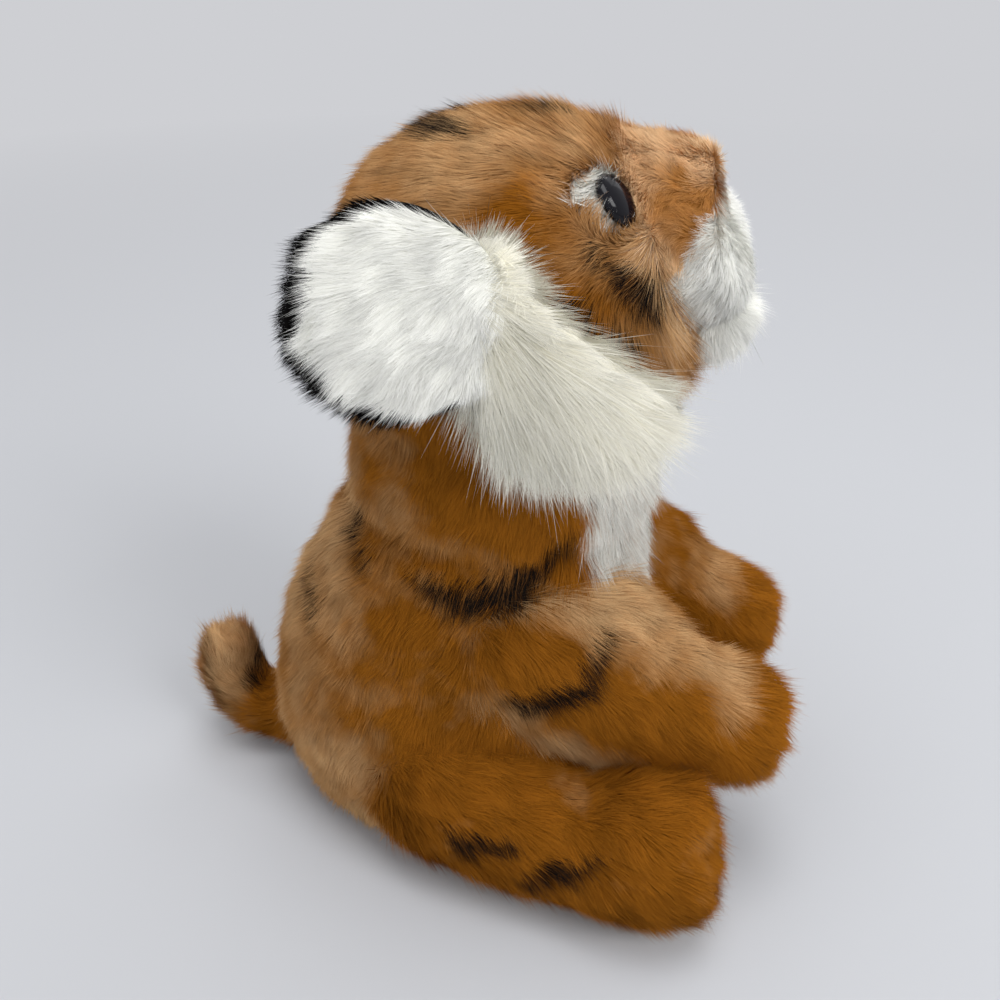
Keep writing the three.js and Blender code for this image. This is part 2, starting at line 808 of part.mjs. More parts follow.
const washerOuter = eyeCentre.clone().addScaledVector(eyeWay, -(goldPileThickness + sewnGap));
const washerInner = washerOuter.clone().addScaledVector(eyeWay, -eyeWasherThickness);
function washerForm(margin) {
  const top = washerOuter.clone().addScaledVector(eyeWay, margin);
  const bottom = washerInner.clone().addScaledVector(eyeWay, -margin);
  return rod(bottom, top, eyeWasherDiameter * half + margin);
}
const eyeSpace = eyeForm(sewnGap);
const eyeWasher = washerForm(0).subtract(eyeSpace);
const eyeHardware = onBothSides(eyeSpace.add(washerForm(sewnGap)));
function eyePatchLayer(margin) {
  const reach = eyePatchDiameter * half;
  const outside = eyeCentre.clone().addScaledVector(eyeWay, reach);
  const inside = eyeCentre.clone().addScaledVector(eyeWay, -reach);
  return rod(inside, outside, reach + margin).subtract(
    stuffedForm(skullSpec, eyePatchThickness + margin),
  );
}
const eyePatch = headOuter.intersect(eyePatchLayer(0)).subtract(eyeSpace).subtract(muzzlePassed);

const headSkin = headOuter
  .subtract(stuffedForm(skullSpec, goldPileThickness))
  .subtract(headOpening)
  .subtract(eyeHardware)
  .subtract(onBothSides(eyePatchLayer(sewnGap)));
const headFilling = stuffedForm(skullSpec, goldPileThickness + sewnGap)
  .add(headOpeningFill.intersect(neckBall))
  .subtract(eyeHardware);

// Ears: a white cushion in front of a black one, sewn to the side of the head along their front edge

const earRootShares = [0.5, 0.1, -0.06];
const earFacing = place(1, 0.1, 0.3).normalize();
const earLean = place(0, -0.95, 0.22);
const earAlong = earLean.clone().addScaledVector(earFacing, -earLean.dot(earFacing)).normalize();
const earAcross = new THREE.Vector3().crossVectors(earAlong, earFacing).normalize();
const earRoot = headPlace(
  earRootShares[0] * headWidth,
  earRootShares[1] * headLength,
  earRootShares[2] * headHeight,
);
const earShares = [
  [0.14, 0.33],
  [0.32, 0.46],
  [0.52, 0.5],
  [0.72, 0.45],
  [0.86, 0.34],
];
function earLayer(middle, thickness, rim, margin) {
  return stuffedForm(
    {
      stations: earShares.map(([along, wide]) => ({
        at: earRoot
          .clone()
          .addScaledVector(earAlong, along * earLength)
          .addScaledVector(earFacing, middle),
        wide: wide * earWidth - rim,
        deep: thickness * half,
      })),
      side: earAcross,
      sides: smallSides,
      rings: 5,
      rootCap: earShares[0][0] * earLength - rim,
      tipCap: (1 - earShares[4][0]) * earLength - rim,
      capRings: 1,
    },
    -margin,
  );
}
const earBackMiddle = earBackThickness * half;
const earFrontMiddle = earBackThickness + earFrontThickness * half - earRimWidth;
const earBackWhole = earLayer(earBackMiddle, earBackThickness, 0, 0);
const earFrontWhole = earLayer(earFrontMiddle, earFrontThickness, earRimWidth, 0);
const earPassing = swept(headPassed, earRoot, earAcross, 0, -earFoldRange, 2);
const earFront = earFrontWhole.subtract(earPassing);
const earBack = earBackWhole
  .subtract(earPassing)
  .subtract(earLayer(earFrontMiddle, earFrontThickness, earRimWidth, sewnGap));
const earWhole = earLayer(earBackMiddle, earBackThickness, 0, sewnGap).add(
  earLayer(earFrontMiddle, earFrontThickness, earRimWidth, sewnGap),
);
const earMoving = swept(earWhole, earRoot, earAcross, 0, earFoldRange, sweepSteps);

// Cheek ruffs: rows of right, forward and up places, then half width and half thickness

const ruffShares = [
  [0.54, 0.06, 0.22, 0.28, 0.4],
  [0.61, 0.11, 0.02, 0.42, 0.5],
  [0.59, 0.15, -0.22, 0.5, 0.5],
  [0.5, 0.24, -0.44, 0.5, 0.5],
  [0.32, 0.36, -0.56, 0.4, 0.42],
];
const ruffCapShare = 0.16;
const ruffSide = headForwardWay.clone().add(headUpWay.clone().multiplyScalar(half)).normalize();
const ruffSpec = {
  stations: ruffShares.map(([right, forward, up, wide, deep]) => ({
    at: headPlace(right * ruffLength, forward * ruffLength, up * ruffLength),
    wide: wide * ruffWidth,
    deep: deep * ruffThickness,
  })),
  side: ruffSide,
  sides: smallSides,
  rings: 7,
  rootCap: ruffCapShare * ruffWidth,
  tipCap: ruffCapShare * ruffWidth,
  capRings: 2,
};
const ruff = stuffedForm(ruffSpec)
  .subtract(headPassed)
  .subtract(earMoving)
  .subtract(muzzlePassed)
  .subtract(chinForm(sewnGap))
  .subtract(swept(collarPassed, neckPivot, sideways, -nodRange, nodRange, 2));

// The toy, as groups that turn about their joints

const tiger = new THREE.Group();
tiger.name = "plush_tiger";

/** A group whose own origin is the joint that it turns about. */
function jointed(parent, name, pivot) {
  const group = new THREE.Group();
  group.name = name;
  group.userData.pivot = pivot;
  group.position.copy(pivot).sub(parent.userData.pivot ?? new THREE.Vector3());
  parent.add(group);
  return group;
}

function addPiece(parent, name, solid, finish) {
  const geometry = geometryOf(solid);
  const pivot = parent.userData.pivot ?? new THREE.Vector3();
  geometry.translate(-pivot.x, -pivot.y, -pivot.z);
  const mesh = new THREE.Mesh(geometry, new THREE.MeshStandardMaterial(finishes[finish]));
  mesh.name = name;
  parent.add(mesh);
}

const neck = jointed(tiger, "neck", neckPivot);
const head = jointed(neck, "head", neckPivot);

addPiece(tiger, "torso_skin", torsoSkin, "goldPile");
addPiece(tiger, "chest_panel", chestPanel, "whitePile");
addPiece(tiger, "seat_panel", seatPanel, "brownPile");
addPiece(tiger, "torso_filling", torsoFilling, "fibre");
addPiece(tiger, "pellet_bag", pelletBag, "pellets");
addPiece(neck, "neck_collar", collar, "goldPile");
addPiece(neck, "neck_filling", neckFilling, "fibre");
addPiece(head, "head_skin", headSkin, "goldPile");
addPiece(head, "head_filling", headFilling, "fibre");
addPiece(head, "muzzle", muzzle, "brownPile");
addPiece(head, "chin", chin, "whitePile");
addPiece(head, "nose", nose, "noseFelt");
addPiece(head, "mouth_thread", mouth, "darkThread");

for (const side of ["right", "left"]) {
  const here = side === "right" ? (solid) => solid : mirrored;
  const across = (point) => (side === "right" ? point : new THREE.Vector3(-point.x, point.y, point.z));
  addPiece(head, `whisker_pad_${side}`, here(padRight), "whitePile");
  addPiece(head, `eye_${side}`, here(eyeForm(0)), "eyePlastic");
  addPiece(head, `eye_washer_${side}`, here(eyeWasher), "washerPlastic");
  addPiece(head, `eye_patch_${side}`, here(eyePatch), "whitePile");
  addPiece(head, `cheek_ruff_${side}`, here(ruff), "ivoryPile");
  const ear = jointed(head, `ear_${side}`, across(earRoot));
  addPiece(ear, `ear_front_${side}`, here(earFront), "whitePile");
  addPiece(ear, `ear_back_${side}`, here(earBack), "blackPile");
  const front = jointed(tiger, `foreleg_${side}`, across(shoulderPivot));
  addPiece(front, `foreleg_skin_${side}`, here(forelegSkin), "goldPile");
  addPiece(front, `foreleg_filling_${side}`, here(foreleg.filling), "fibre");
  addPiece(front, `foreleg_inner_thread_${side}`, here(forelegThreads[1].thread), "goldThread");
  addPiece(front, `foreleg_outer_thread_${side}`, here(forelegThreads[0].thread), "goldThread");
  const rear = jointed(tiger, `hind_leg_${side}`, across(hipPivot));
  addPiece(rear, `hind_leg_skin_${side}`, here(hindLegSkin), "goldPile");
  addPiece(rear, `hind_leg_filling_${side}`, here(hindLeg.filling), "fibre");
  addPiece(rear, `hind_leg_inner_thread_${side}`, here(hindLegThreads[1].thread), "goldThread");
  addPiece(rear, `hind_leg_outer_thread_${side}`, here(hindLegThreads[0].thread), "goldThread");
}

const tail = jointed(tiger, "tail", tailPivot);
addPiece(tail, "tail_skin", tailSkin, "goldPile");
addPiece(tail, "tail_tip", tailTip, "tanPile");
addPiece(tail, "tail_filling", tailFilling, "fibre");

export default tiger;
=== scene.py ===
"""A stuffed toy tiger in plush pile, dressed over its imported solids.

Tables and sizes are in millimetres or shares of them, and every mesh is in metres.
The tiger faces -Y, its right side is at -X, and +Z is up.
"""

import logging
import math
from dataclasses import dataclass, field, replace
from enum import Enum
from typing import Sequence

import bpy
import numpy as np
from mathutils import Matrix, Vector


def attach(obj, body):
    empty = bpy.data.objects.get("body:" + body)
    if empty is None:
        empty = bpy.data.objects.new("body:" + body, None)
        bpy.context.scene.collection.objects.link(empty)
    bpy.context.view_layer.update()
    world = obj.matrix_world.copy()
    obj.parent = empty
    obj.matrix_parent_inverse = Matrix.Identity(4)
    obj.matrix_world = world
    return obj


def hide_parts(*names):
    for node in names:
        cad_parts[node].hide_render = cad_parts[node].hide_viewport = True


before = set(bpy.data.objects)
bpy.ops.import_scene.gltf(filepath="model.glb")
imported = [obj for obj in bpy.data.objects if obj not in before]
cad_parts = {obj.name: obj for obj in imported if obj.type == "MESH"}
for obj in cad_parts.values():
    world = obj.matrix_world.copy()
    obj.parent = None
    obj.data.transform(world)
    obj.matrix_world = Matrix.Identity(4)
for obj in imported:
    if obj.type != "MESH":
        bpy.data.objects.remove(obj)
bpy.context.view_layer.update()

MM = 0.001
LOG = logging.getLogger("tiger")
Array = np.ndarray
Triple = tuple[float, float, float]
Object, Material, Socket = bpy.types.Object, bpy.types.Material, bpy.types.NodeSocket


# Small helpers

MIRROR = np.array([-1.0, 1, 1])
DOWN = np.array([0, 0, -1.0])
FAR_AWAY = 1e9
STRAND_FLOOR, CLOTH_FLOOR = 0.15, 0.5
PILE_INSET, SHORT_INSET, CHIN_INSET, RUFF_INSET = 5.2, 2.4, 3.4, 4.2
SPARE = 0.5


def unit(v: Array) -> Array:
    """Vectors of length one along the same directions."""
    v = np.asarray(v, float)
    return v / np.maximum(np.linalg.norm(v, axis=-1, keepdims=True), 1e-9)


def smooth(low: float, high: float, x: Array) -> Array:
    """The smooth step 3t²-2t³ of x between two values."""
    t = np.clip((x - low) / (high - low), 0, 1)
    return t * t * (3 - 2 * t)


def place(right: float, forward: float, up: float) -> Array:
    """A point from how far it is to the tiger's right, forward and up."""
    return np.array([-right, -forward, up], float)


def linear(red: int, green: int, blue: int) -> tuple[float, ...]:
    """A colour as shaders take it, from its 0 to 255 values on a screen."""
    c = np.array([red, green, blue]) / 255
    c = np.where(c <= 0.04045, c / 12.92, ((c + 0.055) / 1.055) ** 2.4)
    return (*c.tolist(), 1.0)


def curve_table(points: Array, samples: int) -> Array:
    """Points along a centripetal Catmull-Rom curve, at even steps of its parameter.

    Each span is a cubic whose end slopes come from the square roots of the chords round it.

    Args:
        points: the rows that the curve passes through.
        samples: how many points to return.

    Returns:
        The points, one a row.
    """
    points = np.asarray(points, float)
    t = np.linspace(0, len(points) - 1, samples)
    i = np.minimum(t.astype(int), len(points) - 2)
    w = (t - i)[:, None]
    ends = np.vstack([2 * points[0] - points[1], points, 2 * points[-1] - points[-2]])
    p0, p1, p2, p3 = (ends[i + k] for k in range(4))
    d0, d1, d2 = (
        np.sum((b - a) ** 2, axis=1, keepdims=True) ** 0.25
        for a, b in ((p0, p1), (p1, p2), (p2, p3))
    )
    d1 = np.where(d1 < 1e-4, 1.0, d1)
    d0 = np.where(d0 < 1e-4, d1, d0)
    d2 = np.where(d2 < 1e-4, d1, d2)
    m1 = ((p1 - p0) / d0 - (p2 - p0) / (d0 + d1) + (p2 - p1) / d1) * d1
    m2 = ((p2 - p1) / d1 - (p3 - p1) / (d1 + d2) + (p3 - p2) / d2) * d1
    return p1 + m1 * w + (3 * (p2 - p1) - 2 * m1 - m2) * w**2 + (2 * (p1 - p2) + m1 + m2) * w**3


# Stuffed forms


@dataclass
class Form:
    """A stuffed form that swells and tapers along a spine, rounded at both ends."""

    centres: Array
    halves: Array
    side: Array
    root_cap: float
    tip_cap: float
    steps: int = 241
    ellipsoids: int = 44

    def __post_init__(self) -> None:
        """Works out the spine, its section axes and its half sizes at even steps."""
        self.spine = curve_table(self.centres, self.steps)
        self.size = curve_table(self.halves, self.steps)
        self.along = unit(np.gradient(self.spine, axis=0))
        side = np.asarray(self.side, float)
        self.wide = unit(side - self.along * (self.along @ side)[:, None])
        self.deep = np.cross(self.along, self.wide)
        steps = np.linalg.norm(np.diff(self.spine, axis=0), axis=1)
        self.run = np.concatenate([[0], np.cumsum(steps)])

    def grid(self, rows: int, columns: int, inset: float) -> Array:
        """Points on the form pulled in by the inset.

        A section is an ellipse about the spine, and each end is a quarter turn of an ellipse.

        Args:
            rows: points from the root pole to the tip pole.
            columns: points round each section.
            inset: how far the surface is pulled in, in millimetres.

        Returns:
            An array of rows, columns and coordinates, in millimetres.
        """
        caps = [self.root_cap - inset, self.tip_cap - inset]
        ends = [self.size[0].mean() - inset, self.size[-1].mean() - inset]
        arcs = [1.1 * math.hypot(c, e) for c, e in zip(caps, ends)]
        d = np.linspace(0, arcs[0] + self.run[-1] + arcs[1], rows)
        root = np.clip(d / arcs[0], 0, 1) * math.pi / 2
        tip = np.clip((d[-1] - d) / arcs[1], 0, 1) * math.pi / 2
        step = np.interp(d - arcs[0], self.run, np.arange(self.steps))
        low = np.minimum(step.astype(int), self.steps - 2)
        part = (step - low)[:, None]

        def at(table: Array) -> Array:
            """A table's rows at the grid's steps."""
            return table[low] * (1 - part) + table[low + 1] * part

        centre, along, wide, deep = (at(x) for x in (self.spine, self.along, self.wide, self.deep))
        beyond = -caps[0] * np.cos(root) + caps[1] * np.cos(tip)
        shrink = np.sin(root) * np.sin(tip)
        half = (at(self.size) - inset) * shrink[:, None]
        turn = np.arange(columns) / columns * 2 * math.pi
        across = np.cos(turn)[None, :, None] * (wide * half[:, :1])[:, None]
        through = np.sin(turn)[None, :, None] * (deep * half[:, 1:])[:, None]
        return (centre + along * beyond[:, None])[:, None] + across + through

    def distance(self, points: Array, inset: float) -> Array:
        """About how far points lie outside the form pulled in by the inset, negative inside.

        It is the least distance to a row of ellipsoids along the spine.

        Args:
            points: where the distance is wanted.
            inset: how far the form's surface is pulled in.

        Returns:
            A distance for each point.
        """
        flat = points.reshape(-1, 3)
        best = np.full(len(flat), FAR_AWAY)
        for k in np.linspace(0, self.steps - 1, self.ellipsoids).astype(int):
            half = self.size[k] - inset
            ahead = self.run[-1] - self.run[k] + self.tip_cap - inset
            behind = self.run[k] + self.root_cap - inset
            rel = flat - self.spine[k]
            c = rel @ self.along[k]
            reach = np.where(c > 0, min(ahead, half.mean()), min(behind, half.mean()))
            q = np.sqrt(
                (rel @ self.wide[k] / half[0]) ** 2
                + (rel @ self.deep[k] / half[1]) ** 2
                + (c / reach) ** 2
            )
            gap = np.linalg.norm(rel, axis=1) * (1 - 1 / np.maximum(q, 1e-3))
            best = np.minimum(best, gap)
        return best.reshape(points.shape[:-1])

    def mirrored(self) -> "Form":
        """The same form on the other side of the middle plane."""
        centres, side = self.centres * MIRROR, self.side * MIRROR
        return Form(centres, self.halves, side, self.root_cap, self.tip_cap)


# The sizes of the tiger, as in the part's own source

TORSO_HEIGHT, TORSO_WIDTH, TORSO_DEPTH = 150.0, 116.0, 134.0
HEAD_LENGTH, HEAD_WIDTH, HEAD_HEIGHT = 106.0, 106.0, 98.0
HEAD_PITCH = math.radians(22)
HEAD_CENTRE = place(0, 21, 206)
MUZZLE_LENGTH, MUZZLE_WIDTH, MUZZLE_HEIGHT, MUZZLE_DROP = 27.0, 56.0, 56.0, 6.0
MUZZLE_ROOT = 0.42 * HEAD_LENGTH
MUZZLE_FRONT = MUZZLE_ROOT + MUZZLE_LENGTH * 0.8
PAD_WIDTH, PAD_HEIGHT, PAD_DEPTH = 31.0, 38.0, 34.0
CHIN_WIDTH, CHIN_HEIGHT, CHIN_DEPTH = 38.0, 25.0, 32.0
EAR_LENGTH, EAR_WIDTH = 62.0, 63.0
RUFF_LENGTH, RUFF_WIDTH, RUFF_THICKNESS = 92.0, 44.0, 17.0
SHOULDER, SHOULDER_RADIUS = place(31, 34, 90), 28.0
FORELEG_REACH, FORELEG_DROP, PAW_WIDTH = 92.0, 31.0, 45.0
HIP_SPREAD, HIP_HEIGHT, HIP_RADIUS = 92.0, 30.0, 28.0
HIP = place(HIP_SPREAD / 2, 8, HIP_HEIGHT)
HIND_LEG_REACH, FOOT_WIDTH, FOOT_HEIGHT = 98.0, 52.0, 64.0
TAIL_ROOT, TAIL_ROOT_RADIUS = place(0, -0.41 * TORSO_DEPTH, 22), 14.0
TAIL_LENGTH, TAIL_THICKNESS = 52.0, 31.0
NECK_CAP = 12.0
SIDEWAYS = np.array([1.0, 0, 0])


def head_place(right: float, forward: float, up: float) -> Array:
    """A point of the head from how far it is to the right, forward and up in the pitched head."""
    level = forward * math.cos(HEAD_PITCH) - up * math.sin(HEAD_PITCH)
    rise = forward * math.sin(HEAD_PITCH) + up * math.cos(HEAD_PITCH)
    return HEAD_CENTRE + place(right, level, rise)


def head_way(right: float, forward: float, up: float) -> Array:
    """A direction in the pitched head."""
    return head_place(right, forward, up) - HEAD_CENTRE


def in_head(points: Array) -> tuple[Array, Array, Array]:
    """How far points are to the right, forward and up in the pitched head.

    Args:
        points: the points.

    Returns:
        The three measures, each with a number for each point.
    """
    rel = points - HEAD_CENTRE
    level, rise = -rel[..., 1], rel[..., 2]
    forward = level * math.cos(HEAD_PITCH) + rise * math.sin(HEAD_PITCH)
    up = -level * math.sin(HEAD_PITCH) + rise * math.cos(HEAD_PITCH)
    return -rel[..., 0], forward, up


def eye_place() -> Array:
    """The middle of the right eye's base."""
    return head_place(0.27 * HEAD_WIDTH, 0.385 * HEAD_LENGTH, 0.145 * HEAD_HEIGHT)


def torso_form() -> Form:
    """The body, widest near the seat and narrow at the neck."""
    rows = np.array([
        [-0.05, -0.012, 0.39, 0.4], [0.1, -0.01, 0.465, 0.465], [0.27, -0.008, 0.505, 0.5],
        [0.43, 0.024, 0.5, 0.492], [0.6, 0.08, 0.47, 0.45], [0.78, 0.135, 0.425, 0.405],
        [0.93, 0.145, 0.385, 0.372], [1.06, 0.148, 0.36, 0.345],
    ])
    centres = np.array([place(0, f * TORSO_DEPTH, u * TORSO_HEIGHT) for u, f, _, _ in rows])
    sizes = rows[:, 2:] * [TORSO_WIDTH, TORSO_DEPTH]
    return Form(centres, sizes, SIDEWAYS, NECK_CAP, NECK_CAP)


def neck_form() -> Form:
    """The short neck between the body and the head."""
    rows = np.array([[136, 21, 45, 50], [152, 21, 44, 49], [168, 21, 46, 50], [184, 20, 46, 47]])
    centres = np.array([place(0, f, u) for u, f, _, _ in rows])
    return Form(centres, rows[:, 2:], SIDEWAYS, NECK_CAP, NECK_CAP)


def skull_form() -> Form:
    """The head without its muzzle, along its pitched length."""
    rows = np.array([
        [-0.36, -0.02, 0.37, 0.36], [-0.2, 0, 0.465, 0.475], [-0.03, 0, 0.505, 0.505],
        [0.14, -0.02, 0.49, 0.465], [0.28, -0.075, 0.43, 0.385], [0.37, -0.11, 0.34, 0.3],
    ])
    centres = np.array([head_place(0, f * HEAD_LENGTH, u * HEAD_HEIGHT) for f, u, _, _ in rows])
    sizes = rows[:, 2:] * [HEAD_WIDTH, HEAD_HEIGHT]
    return Form(centres, sizes, SIDEWAYS, 0.15 * HEAD_LENGTH, 0.09 * HEAD_LENGTH)


def muzzle_form() -> Form:
    """The muzzle, from inside the head to just behind the nose."""
    rows = np.array([[-0.4, 0.05, 0.52, 0.52], [0.2, 0, 0.5, 0.5], [0.62, -0.06, 0.45, 0.43]])
    centres = np.array([
        head_place(0, MUZZLE_ROOT + f * MUZZLE_LENGTH, u * MUZZLE_HEIGHT - MUZZLE_DROP)
        for f, u, _, _ in rows
    ])
    cap = 0.18 * MUZZLE_LENGTH
    return Form(centres, rows[:, 2:] * [MUZZLE_WIDTH, MUZZLE_HEIGHT], SIDEWAYS, cap, cap)


def cushion(centre: Array, halves: Triple) -> Form:
    """An egg-shaped cushion with half sizes along the head, to the side and through.

    Args:
        centre: its middle.
        halves: its half sizes.

    Returns:
        The cushion.
    """
    reach, wide, deep = halves
    along = head_way(0, 1, 0)
    core = 0.35 * reach
    centres = np.array([centre - along * core, centre, centre + along * core])
    sizes = np.outer([0.94, 1, 0.94], [wide, deep])
    return Form(centres, sizes, SIDEWAYS, reach - core, reach - core)


def pad_form() -> Form:
    """The right whisker pad."""
    ahead, up = MUZZLE_FRONT - 0.36 * PAD_DEPTH, -MUZZLE_DROP - 0.24 * PAD_HEIGHT
    return cushion(head_place(0.38 * PAD_WIDTH, ahead, up), (PAD_DEPTH / 2, PAD_WIDTH / 2, PAD_HEIGHT / 2))


def chin_form() -> Form:
    """The chin, below the whisker pads."""
    ahead = MUZZLE_FRONT - 0.46 * CHIN_DEPTH
    up = -MUZZLE_DROP - 0.24 * PAD_HEIGHT - 0.8 * CHIN_HEIGHT
    return cushion(head_place(0, ahead, up), (CHIN_DEPTH / 2, CHIN_WIDTH / 2, CHIN_HEIGHT / 2))


CHEEK = np.array([27.0, 33.0, -40.0])
CHEEK_RISE, CHEEK_REACH = 16.0, 17.0


def fuller_cheeks(points: Array) -> Array:
    """The head with its lower cheeks pushed out over the whisker pads.

    A point moves forward and outward by the rise times exp(-d²/2r²), at d from the cheek's middle.

    Args:
        points: the head's points.

    Returns:
        The points where they are moved to.
    """
    right, forward, up = in_head(points)
    rel = np.stack([np.abs(right), forward, up], -1) - CHEEK
    push = CHEEK_RISE * np.exp(-np.sum(rel**2, -1) / (2 * CHEEK_REACH**2))
    outward = -np.sign(right)[..., None] * SIDEWAYS
    return points + push[..., None] * unit(head_way(0, 0.6, -0.75) + 0.3 * outward)


def foreleg_form() -> Form:
    """The right foreleg, stretched forward and down from the shoulder."""
    rows = np.array([
        [0, 0, 0, 0.62, 0.62], [-0.04, 0.18, 0.26, 0.62, 0.76], [-0.03, 0.38, 0.6, 0.57, 0.76],
        [0.01, 0.58, 0.82, 0.52, 0.6], [0.06, 0.77, 1, 0.5, 0.54],
    ])
    scale = place(-FORELEG_DROP, FORELEG_REACH, -FORELEG_DROP)
    centres = SHOULDER + rows[:, :3] * scale
    return Form(centres, rows[:, 3:] * PAW_WIDTH, SIDEWAYS, SHOULDER_RADIUS, 0.42 * PAW_WIDTH)


def hind_leg_form() -> Form:
    """The right hind leg, along the floor, with its foot upright."""
    rows = np.array([
        [0, 0, 0, 0.53, 0.43], [0.1, 0.25, -0.12, 0.56, 0.43], [0.22, 0.48, -0.14, 0.52, 0.41],
        [0.34, 0.7, -0.02, 0.52, 0.48], [0.36, 0.82, 0.02, 0.48, 0.47],
    ])
    centres = HIP + rows[:, :3] * place(HIP_SPREAD / 2, HIND_LEG_REACH, HIP_HEIGHT)
    sizes = rows[:, 3:] * [FOOT_WIDTH, FOOT_HEIGHT]
    return Form(centres, sizes, SIDEWAYS, HIP_RADIUS, 0.3 * FOOT_WIDTH)


def tail_form() -> Form:
    """The short tail that curls up."""
    rows = np.array([
        [0, 0, 0.46, 0.46], [0.26, -0.12, 0.5, 0.5], [0.5, -0.06, 0.5, 0.49],
        [0.64, 0.14, 0.49, 0.48], [0.68, 0.36, 0.45, 0.44],
    ])
    centres = np.array([TAIL_ROOT + place(0, -b, u) * TAIL_LENGTH for b, u, _, _ in rows])
    tip_cap = 0.36 * TAIL_THICKNESS
    return Form(centres, rows[:, 2:] * TAIL_THICKNESS, SIDEWAYS, TAIL_ROOT_RADIUS, tip_cap)


EAR_ROOT = head_place(0.5 * HEAD_WIDTH, 0.1 * HEAD_LENGTH, -0.06 * HEAD_HEIGHT)
EAR_FACING = unit(place(1, 0.1, 0.3))
EAR_ALONG = place(0, -0.95, 0.22)
EAR_ALONG = unit(EAR_ALONG - EAR_FACING * (EAR_ALONG @ EAR_FACING))
EAR_ACROSS = unit(np.cross(EAR_ALONG, EAR_FACING))


def ear_form(middle: float, thickness: float, rim: float) -> Form:
    """One layer of the right ear, a round cushion that lies off the side of the head.

    Args:
        middle: how far its middle lies from the ear's root, the way that the ear faces.
        thickness: its greatest thickness.
        rim: how far its edge is drawn in.
    """
    rows = np.array([[0.14, 0.33], [0.32, 0.46], [0.52, 0.5], [0.72, 0.45], [0.86, 0.34]])
    centres = EAR_ROOT + EAR_ALONG * rows[:, :1] * EAR_LENGTH + EAR_FACING * middle
    sizes = np.stack([rows[:, 1] * EAR_WIDTH - rim, np.full(5, thickness / 2)], 1)
    cap = 0.14 * EAR_LENGTH - rim
    return Form(centres, sizes, EAR_ACROSS, cap, cap)


def ruff_form() -> Form:
    """The right cheek ruff, from above the ear's root down to the throat."""
    rows = np.array([
        [0.54, 0.06, 0.22, 0.28, 0.4], [0.61, 0.11, 0.02, 0.42, 0.5], [0.59, 0.15, -0.22, 0.5, 0.5],
        [0.5, 0.24, -0.44, 0.5, 0.5], [0.32, 0.36, -0.56, 0.4, 0.42],
    ])
    centres = np.array([head_place(*(row[:3] * RUFF_LENGTH)) for row in rows])
    sizes = rows[:, 3:] * [RUFF_WIDTH, RUFF_THICKNESS]
    return Form(centres, sizes, unit(head_way(0, 1, 0.5)), 7, 7)


# Pile


@dataclass(frozen=True)
class Pile:
    """How a pile stands: its length and lean, and how its strands gather.

    The lean is in degrees from upright, the density in strands a square millimetre, and the
    undercoat the share of the strands that cast shadows. The spread, pull, droop, curl, bend and
    sink are shares of a strand's length, and the taper is one of its width. Calm is how often the
    normals that light it are averaged, and blade how much of the strand's own is added. Uneven,
    clump_uneven and tint say how much lengths differ, from strand to strand and from clump to
    clump, and how much shades do.
    """

    length: float
    lean: float = 52.0
    density: float = 8.0
    width: float = 0.3
    segments: int = 1
    spread: float = 0.13
    clump: float = 4.2
    pull: float = 0.22
    droop: float = 0.0
    curl: float = 0.3
    ripple: float = 1.0
    calm: int = 0
    undercoat: float = 0.3
    uneven: float = 0.16
    clump_uneven: float = 0.28
    bend: float = 0.25
    sink: float = 0.18
    taper: float = 0.45
    blade: float = 0.25
    tint: float = 0.13


@dataclass(frozen=True)
class PileFinish:
    """The colours of a pile: at its roots, on its way up, and where its tips are pale. The darker roots are
    partly painted shade deep in the pile, and the pale tips partly painted sheen.
    """

    name: str
    slot: str
    root: tuple[int, int, int]
    body: tuple[int, int, int]
    pale: tuple[int, int, int]
    stripe: tuple[int, int, int] = (22, 19, 18)
    white: tuple[int, int, int] = (226, 225, 218)
    grain: float = 0.3

    def material(self, backing: bool = False) -> Material:
        """The finish as nodes.

        The colour runs from root to tip; the darker roots are partly painted shade deep in the pile. It is
        made paler by the pale attribute, which holds tan tips and painted sheen, more so towards the
        tips and in the patches of a slow noise, and gives way to what is white and striped. Each
        strand then has its own shade.

        Args:
            backing: whether it is for the cloth under the pile, which has a knitted bump.

        Returns:
            The material, made once.
        """
        name = self.name + ("_cloth_finish" if backing else "_pile_finish")
        made = bpy.data.materials.get(name)
        if made:
            return made
        g = Graph.start(name)
        tip = g.attribute("tip")
        colour = g.mix(tip, linear(*self.root), linear(*self.body))
        patch = g.remap(g.noise(32, 2), (0.34, 0.68), (-self.grain, self.grain))
        tuft = g.remap(g.noise(150, 2), (0.3, 0.7), (-0.3 * self.grain, 0.3 * self.grain))
        # The pale attribute lightens the tips; where it follows how the pile faces, this is painted sheen.
        pale_and_sheen = g.math("ADD", g.math("ADD", g.attribute("pale"), patch), tuft)
        pale_and_sheen = g.math("MULTIPLY", g.clamp(pale_and_sheen), g.remap(tip, (0.05, 0.8), (0.35, 1)))
        colour = g.mix(pale_and_sheen, colour, linear(*self.pale))
        colour = g.mix(g.attribute("white"), colour, linear(*self.white))
        colour = g.mix(g.attribute("stripe"), colour, linear(*self.stripe))
        shade = g.remap(g.attribute("shade"), (0, 1), (0.7, 1.22))
        g.finish_pile(g.brightened(colour, shade), backing)
        return g.owner


